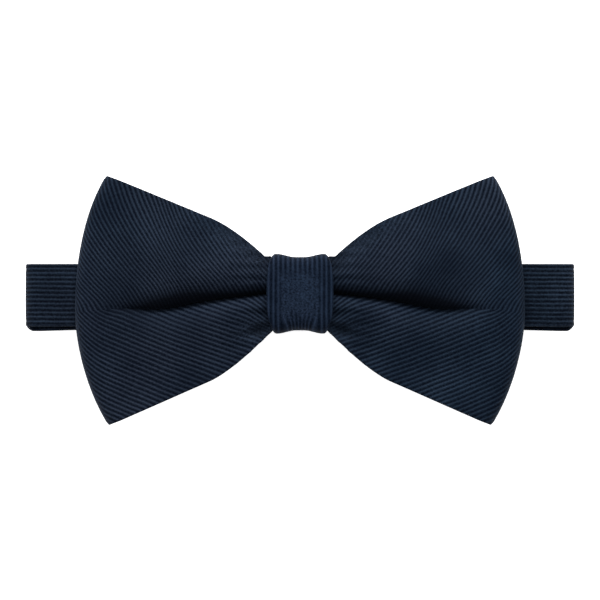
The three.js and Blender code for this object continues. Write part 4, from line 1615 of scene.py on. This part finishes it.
# ------------------------------------------------------------------ the metal fittings
@dataclass
class PressedFitting:
    """A fitting cut from a flat plate, bent along a side path and softened at its edges."""

    band: NeckBand
    metal: float = 0.8
    half_width: float = 9.9
    rail: float = 1.2
    corner: float = 1.2
    slot_corner: float = 0.4
    edge_round: float = 0.22
    step_run: float = 1.8  # how far a plate runs while it steps down to the back plane
    hook_plate: float = 2.6
    hook_tongue: float = 5.2
    tongue_half: float = 3.0
    hook_lip: float = 2.4
    eye_slot: float = 3.0
    eye_slot_half: float = 4.5
    eye_rim: float = 1.5

    def blank(
        self, name: str, length: float, cuts_x: Sequence[float], cuts_y: Sequence[float]
    ) -> bpy.types.Object:
        """A flat sheet of metal, scored across at the given places.

        Args:
            name: The piece's name.
            length: Its length, from 0.
            cuts_x: Where it is scored across.
            cuts_y: Where it is scored along.

        Returns:
            The sheet, in edit mode, in millimetres.
        """
        deselect_all()
        bpy.ops.mesh.primitive_plane_add(size=1, location=(length / 2, 0, 0))
        piece = bpy.context.active_object
        piece.name = piece.data.name = name
        piece.scale = (length, 2 * self.half_width, 1)
        bpy.ops.object.transform_apply(location=True, rotation=True, scale=True)
        bpy.ops.object.mode_set(mode="EDIT")
        for places, normal in ((cuts_x, (1, 0, 0)), (cuts_y, (0, 1, 0))):
            for place in places:
                bpy.ops.mesh.select_all(action="SELECT")
                bpy.ops.mesh.bisect(plane_co=tuple(c * place for c in normal), plane_no=normal)
        return piece

    def cut_away(self, piece: bpy.types.Object, inside: Callable[[Vector], bool]) -> None:
        """Deletes the faces whose middle is inside a region.

        Args:
            piece: The sheet, in edit mode.
            inside: Says whether a face's middle is cut away.
        """
        bpy.ops.mesh.select_all(action="DESELECT")
        made = bmesh.from_edit_mesh(piece.data)
        for face in made.faces:
            face.select_set(bool(inside(face.calc_center_median())))
        bmesh.update_edit_mesh(piece.data)
        bpy.ops.mesh.delete(type="FACE")

    def round_corners(
        self, piece: bpy.types.Object, corners: Sequence[tuple[float, float]], radius: float
    ) -> None:
        """Rounds the sheet's corners in plan.

        Args:
            piece: The sheet, in edit mode.
            corners: Where they are.
            radius: How much is taken off.
        """
        bpy.ops.mesh.select_all(action="DESELECT")
        bpy.ops.mesh.select_mode(type="VERT")
        made = bmesh.from_edit_mesh(piece.data)
        for vertex in made.verts:
            if any(abs(vertex.co.x - x) < 1e-3 and abs(vertex.co.y - y) < 1e-3 for x, y in corners):
                vertex.select_set(True)
        bmesh.update_edit_mesh(piece.data)
        bpy.ops.mesh.bevel(offset=radius, offset_type="OFFSET", segments=4, affect="VERTICES")

    def form(
        self, piece: bpy.types.Object, profile: np.ndarray | None, lift: float, side: Side, along: float
    ) -> None:
        """Bends the sheet along its side path, thickens it, softens its edges and puts it in place.

        Args:
            piece: The sheet, in edit mode.
            profile: Its side path, or None to leave it flat.
            lift: Height of a flat sheet.
            side: Which half of the band it is on.
            along: Where a flat sheet starts along the band.
        """
        bpy.ops.object.mode_set(mode="OBJECT")
        if profile is not None:
            run = run_along(profile)
            for vertex in piece.data.vertices:
                place = float(vertex.co.x)
                vertex.co.x = float(np.interp(place, run, profile[:, 0]))
                vertex.co.z = float(np.interp(place, run, profile[:, 1]))
        else:
            piece.data.transform(Matrix.Translation((along, 0, lift)))
        solid = piece.modifiers.new("thickness", "SOLIDIFY")
        solid.thickness, solid.offset, solid.use_even_offset = self.metal, 0, True
        bpy.ops.object.modifier_apply(modifier=solid.name)
        soft = piece.modifiers.new("softened edges", "BEVEL")
        soft.width, soft.segments, soft.limit_method = self.edge_round, 3, "ANGLE"
        soft.angle_limit = math.radians(50)
        bpy.ops.object.modifier_apply(modifier=soft.name)
        bpy.ops.object.shade_smooth_by_angle(angle=math.radians(40))
        origin, way, across = self.band.frame_of(side)
        matrix = Matrix(((way[0], across[0], 0, origin[0]), (way[1], across[1], 0, origin[1]),
                         (0, 0, 1, 0), (0, 0, 0, 1)))
        piece.data.transform(Matrix.Scale(MM, 4) @ matrix)
        deselect_all()

    def slot_cuts(
        self, low: float, high: float, half: float
    ) -> tuple[Callable[[Vector], bool], list[tuple[float, float]]]:
        """A slot's region and its four corners.

        Args:
            low: Where it starts along the sheet.
            high: Where it ends.
            half: Half its length across the sheet.

        Returns:
            A test for faces in it, and its corners.
        """
        corners = [(x, y) for x in (low, high) for y in (-half, half)]
        return (lambda c: low < c.x < high and abs(c.y) < half), corners

    def slide(self) -> bpy.types.Object:
        """The three-bar slide.

        Returns:
            The slide.
        """
        band = self.band
        middle, inner = band.slide_half, self.half_width - self.rail
        near, far = band.bar / 2, band.slide_half - band.outer_bar
        xs = [middle - far, middle - near, middle + near, middle + far]
        piece = self.blank("slide", 2 * middle, xs, [-inner, inner])
        for low, high in ((xs[0], xs[1]), (xs[2], xs[3])):
            region, corners = self.slot_cuts(low, high, inner)
            self.cut_away(piece, region)
            self.round_corners(piece, corners, self.slot_corner)
        ends = [(x, y) for x in (0, 2 * middle) for y in (-self.half_width, self.half_width)]
        self.round_corners(piece, ends, self.corner)
        self.form(piece, None, band.slide_z, Side.LEFT, band.slide_at - middle)
        return piece

    def side_profile(self, bar_at: float, plate_end: float, lip: float) -> np.ndarray:
        """The side path: bar, step down to the back plane, plate, and a hook's doubled tongue.

        Args:
            bar_at: The bar's middle along the band.
            plate_end: The fitting's far end along the band.
            lip: Length of the tongue's doubled end, or 0 for none.

        Returns:
            The path, along and height.
        """
        band, low = self.band, self.metal / 2
        path = SidePath(bar_at - band.bar / 2, band.bar_z).line(bar_at + band.bar / 2, band.bar_z)
        path.curve(bar_at + band.bar / 2 + self.step_run, low)
        if lip <= 0:
            return path.line(plate_end, low).array()
        bend = self.metal / 2 + (self.metal + 2 * band.clear) / 2
        turn = plate_end - bend - self.metal / 2
        path.line(turn, low).arc(turn, low + bend, bend, -1, 1)
        return path.line(turn - lip, low + 2 * bend).array()

    def hook(self) -> bpy.types.Object:
        """The hook: a bar, a plate and a tongue that doubles back.

        Returns:
            The hook.
        """
        band, wide, tongue = self.band, self.half_width, self.tongue_half
        slot = self.step_run + band.clear
        tip = band.hook_bar + band.bar / 2 + slot + self.hook_plate + self.hook_tongue
        profile = self.side_profile(band.hook_bar, tip, self.hook_lip)
        run = run_along(profile)
        end, bent = float(run[-1]), band.hook_bar + band.bar / 2 + self.step_run
        stretch = run[np.searchsorted(profile[:20, 0], bent)] - (band.bar + self.step_run)
        low, high = band.bar, band.bar + slot + stretch
        neck, inner = high + self.hook_plate, wide - self.rail
        cuts = sorted({low, high, neck, *[float(r) for r in run[1:-1]]})
        piece = self.blank("hook", end, cuts, [-inner, -tongue, tongue, inner])
        region, corners = self.slot_cuts(low, high, inner)
        self.cut_away(piece, region)
        self.cut_away(piece, lambda c: c.x > neck and abs(c.y) > tongue)
        self.round_corners(piece, corners, self.slot_corner)
        self.round_corners(piece, [(0, wide), (0, -wide), (neck, wide), (neck, -wide)], 0.8)
        self.round_corners(piece, [(end, tongue), (end, -tongue)], 1.0)
        self.form(piece, profile, 0, Side.LEFT, 0)
        return piece

    def eye(self) -> bpy.types.Object:
        """The eye: a bar and a plate with a slot for the hook.

        Returns:
            The eye.
        """
        band, rim, half = self.band, self.eye_rim, self.eye_slot_half
        bent = band.eye_bar + band.bar / 2 + self.step_run
        tip = bent + band.clear + rim + self.eye_slot + rim
        profile = self.side_profile(band.eye_bar, tip, 0)
        run = run_along(profile)
        end = float(run[-1])
        far, near = end - rim, end - (rim + self.eye_slot)
        low, high, inner = band.bar, end - (self.eye_slot + 2 * rim), self.half_width - self.rail
        cuts = sorted({low, high, near, far, *[float(r) for r in run[1:-1]]})
        piece = self.blank("eye", end, cuts, [-inner, -half, half, inner])
        for a, b, reach in ((low, high, inner), (near, far, half)):
            region, corners = self.slot_cuts(a, b, reach)
            self.cut_away(piece, region)
            self.round_corners(piece, corners, self.slot_corner)
        outline = [(x, y) for x in (0, end) for y in (-self.half_width, self.half_width)]
        self.round_corners(piece, outline, 1.0)
        self.form(piece, profile, 0, Side.RIGHT, 0)
        return piece

    def build(self, wardrobe: Wardrobe) -> None:
        """Builds and dresses the slide, the hook and the eye.

        Args:
            wardrobe: The materials.
        """
        for piece, body, node in (
            (self.slide(), "slide", "slide_adjuster"),
            (self.hook(), "hook", "band_hook"),
            (self.eye(), "eye", "band_eye"),
        ):
            wardrobe.fit(piece, Slot.METAL, body, node)
            log.info("%s: %d faces", piece.name, len(piece.data.polygons))


@dataclass
class Bartack:
    """A dense zigzag of thread across the band."""

    name: str
    node: str
    body: str
    side: Side
    along: float
    height: float
    reach: float = 6.9
    half: float = 0.6
    pitch: float = 0.42
    radius: float = 0.17

    def build(self, wardrobe: Wardrobe, band: NeckBand) -> None:
        """Sews the tack.

        Args:
            wardrobe: The materials.
            band: The band it holds.
        """
        origin, way, across = band.frame_of(self.side)
        count = round(2 * self.reach / self.pitch)
        path = []
        for i in range(count):
            for t in np.linspace(0, 1, 7)[:-1]:
                along = self.along + self.half * (1 - 2 * t) * (1 if i % 2 else -1)
                y = -self.reach + (i + t) * self.pitch
                lift = 0.06 * math.sin(t * math.pi)
                path.append(origin + along * way + y * across + np.array([0, 0, self.height + lift]))
        piece = thread_tube(self.name, path, self.radius, 6)
        wardrobe.fit(piece, Slot.THREAD, self.body, self.node)
        log.info("%s: %d stitches", self.name, count)


# ------------------------------------------------------------------ floor, lights and camera
@dataclass(frozen=True)
class Studio:
    """A plain pale floor, soft light, and a camera straight above."""

    view_width: float = 160.36
    bow_height: float = 12.0
    distance: float = 1200.0
    floor_half: float = 1500.0
    sensor: float = 36.0

    def camera(self) -> None:
        """Puts the camera over the middle of the tie, looking straight down."""
        data = bpy.data.cameras.new("camera")
        data.sensor_width = self.sensor
        data.lens = self.sensor * self.distance / self.view_width
        data.clip_start, data.clip_end = 0.01, 20.0
        camera = add_object("camera", data)
        camera.location = (0, 0, (self.bow_height + self.distance) * MM)
        bpy.context.scene.camera = camera

    def floor(self) -> None:
        """Lays a large white sheet just under the band."""
        half = self.floor_half * MM
        deselect_all()
        bpy.ops.mesh.primitive_plane_add(size=2 * half, location=(0, 0, -0.0004))
        floor = bpy.context.active_object
        floor.name = floor.data.name = "floor"
        material, kit, shader = new_material("white paper")
        tooth = kit.noise(kit.object_place(), 900.0, 2.0)
        for name, value in {
            "Base Color": kit.blend(tooth, (0.90, 0.90, 0.90, 1), (0.92, 0.92, 0.92, 1)),
            "Roughness": 0.95,
            "Specular IOR Level": 0.1,
            "Emission Color": (1, 1, 1, 1),
            "Emission Strength": 0.8,
        }.items():
            kit.feed(shader.inputs[name], value)
        floor.data.materials.append(material)

    def lamp(self, name: str, place: tuple[float, float, float], size: float, power: float) -> None:
        """Adds a soft box that faces the tie.

        Args:
            name: The lamp's name.
            place: Where it stands, in metres.
            size: Its side, in metres.
            power: Its power in watts.
        """
        data = bpy.data.lights.new(name, "AREA")
        data.size, data.energy = size, power
        lamp = add_object(name, data)
        lamp.location = place
        lamp.rotation_mode = "QUATERNION"
        lamp.rotation_quaternion = (-Vector(place)).to_track_quat("-Z", "Y")

    def build(self) -> None:
        """Sets up the stage."""
        scene = bpy.context.scene
        scene.view_settings.view_transform = "Standard"
        self.camera()
        self.floor()
        self.lamp("top soft box", (0.0, 1.6, 1.1), 0.9, 46.0)
        self.lamp("overhead soft box", (0.0, 0.25, 1.9), 1.4, 14.0)
        self.lamp("left fill", (-1.4, 0.2, 0.9), 0.9, 6.0)
        self.lamp("right fill", (1.4, 0.2, 0.9), 0.9, 6.0)
        world = bpy.data.worlds.new("soft surround")
        world.use_nodes = True
        background = world.node_tree.nodes["Background"]
        background.inputs["Color"].default_value = (0.94, 0.96, 1.0, 1)
        background.inputs["Strength"].default_value = 0.28
        scene.world = world


def main() -> None:
    """Builds the tie piece by piece."""
    logging.basicConfig(level=logging.INFO, format="%(name)s: %(message)s")
    Studio().build()
    wardrobe = Wardrobe()
    band = NeckBand()
    band.build(wardrobe)
    wing = Wing()
    for side in Side:
        wing.build(wardrobe, side.name.lower())
    Knot().build(wardrobe)
    PressedFitting(band).build(wardrobe)
    slide_under = band.slide_z - band.bar_turn - band.thickness / 2 - band.clear - 0.2
    eye_over = band.back_z + band.layer + band.thickness / 2 + band.clear - 0.05
    slide_tack = Bartack(
        "slide_tack", "slide_bartack", "slide", Side.LEFT, band.slide_at, slide_under + 0.15
    )
    eye_tack = Bartack("eye_tack", "eye_bartack", "right_band", Side.RIGHT, band.eye_bar - 6.2, eye_over)
    for bartack in (slide_tack, eye_tack):
        bartack.build(wardrobe, band)
    deselect_all()
    bpy.context.view_layer.update()


if __name__ == "__main__":
    main()
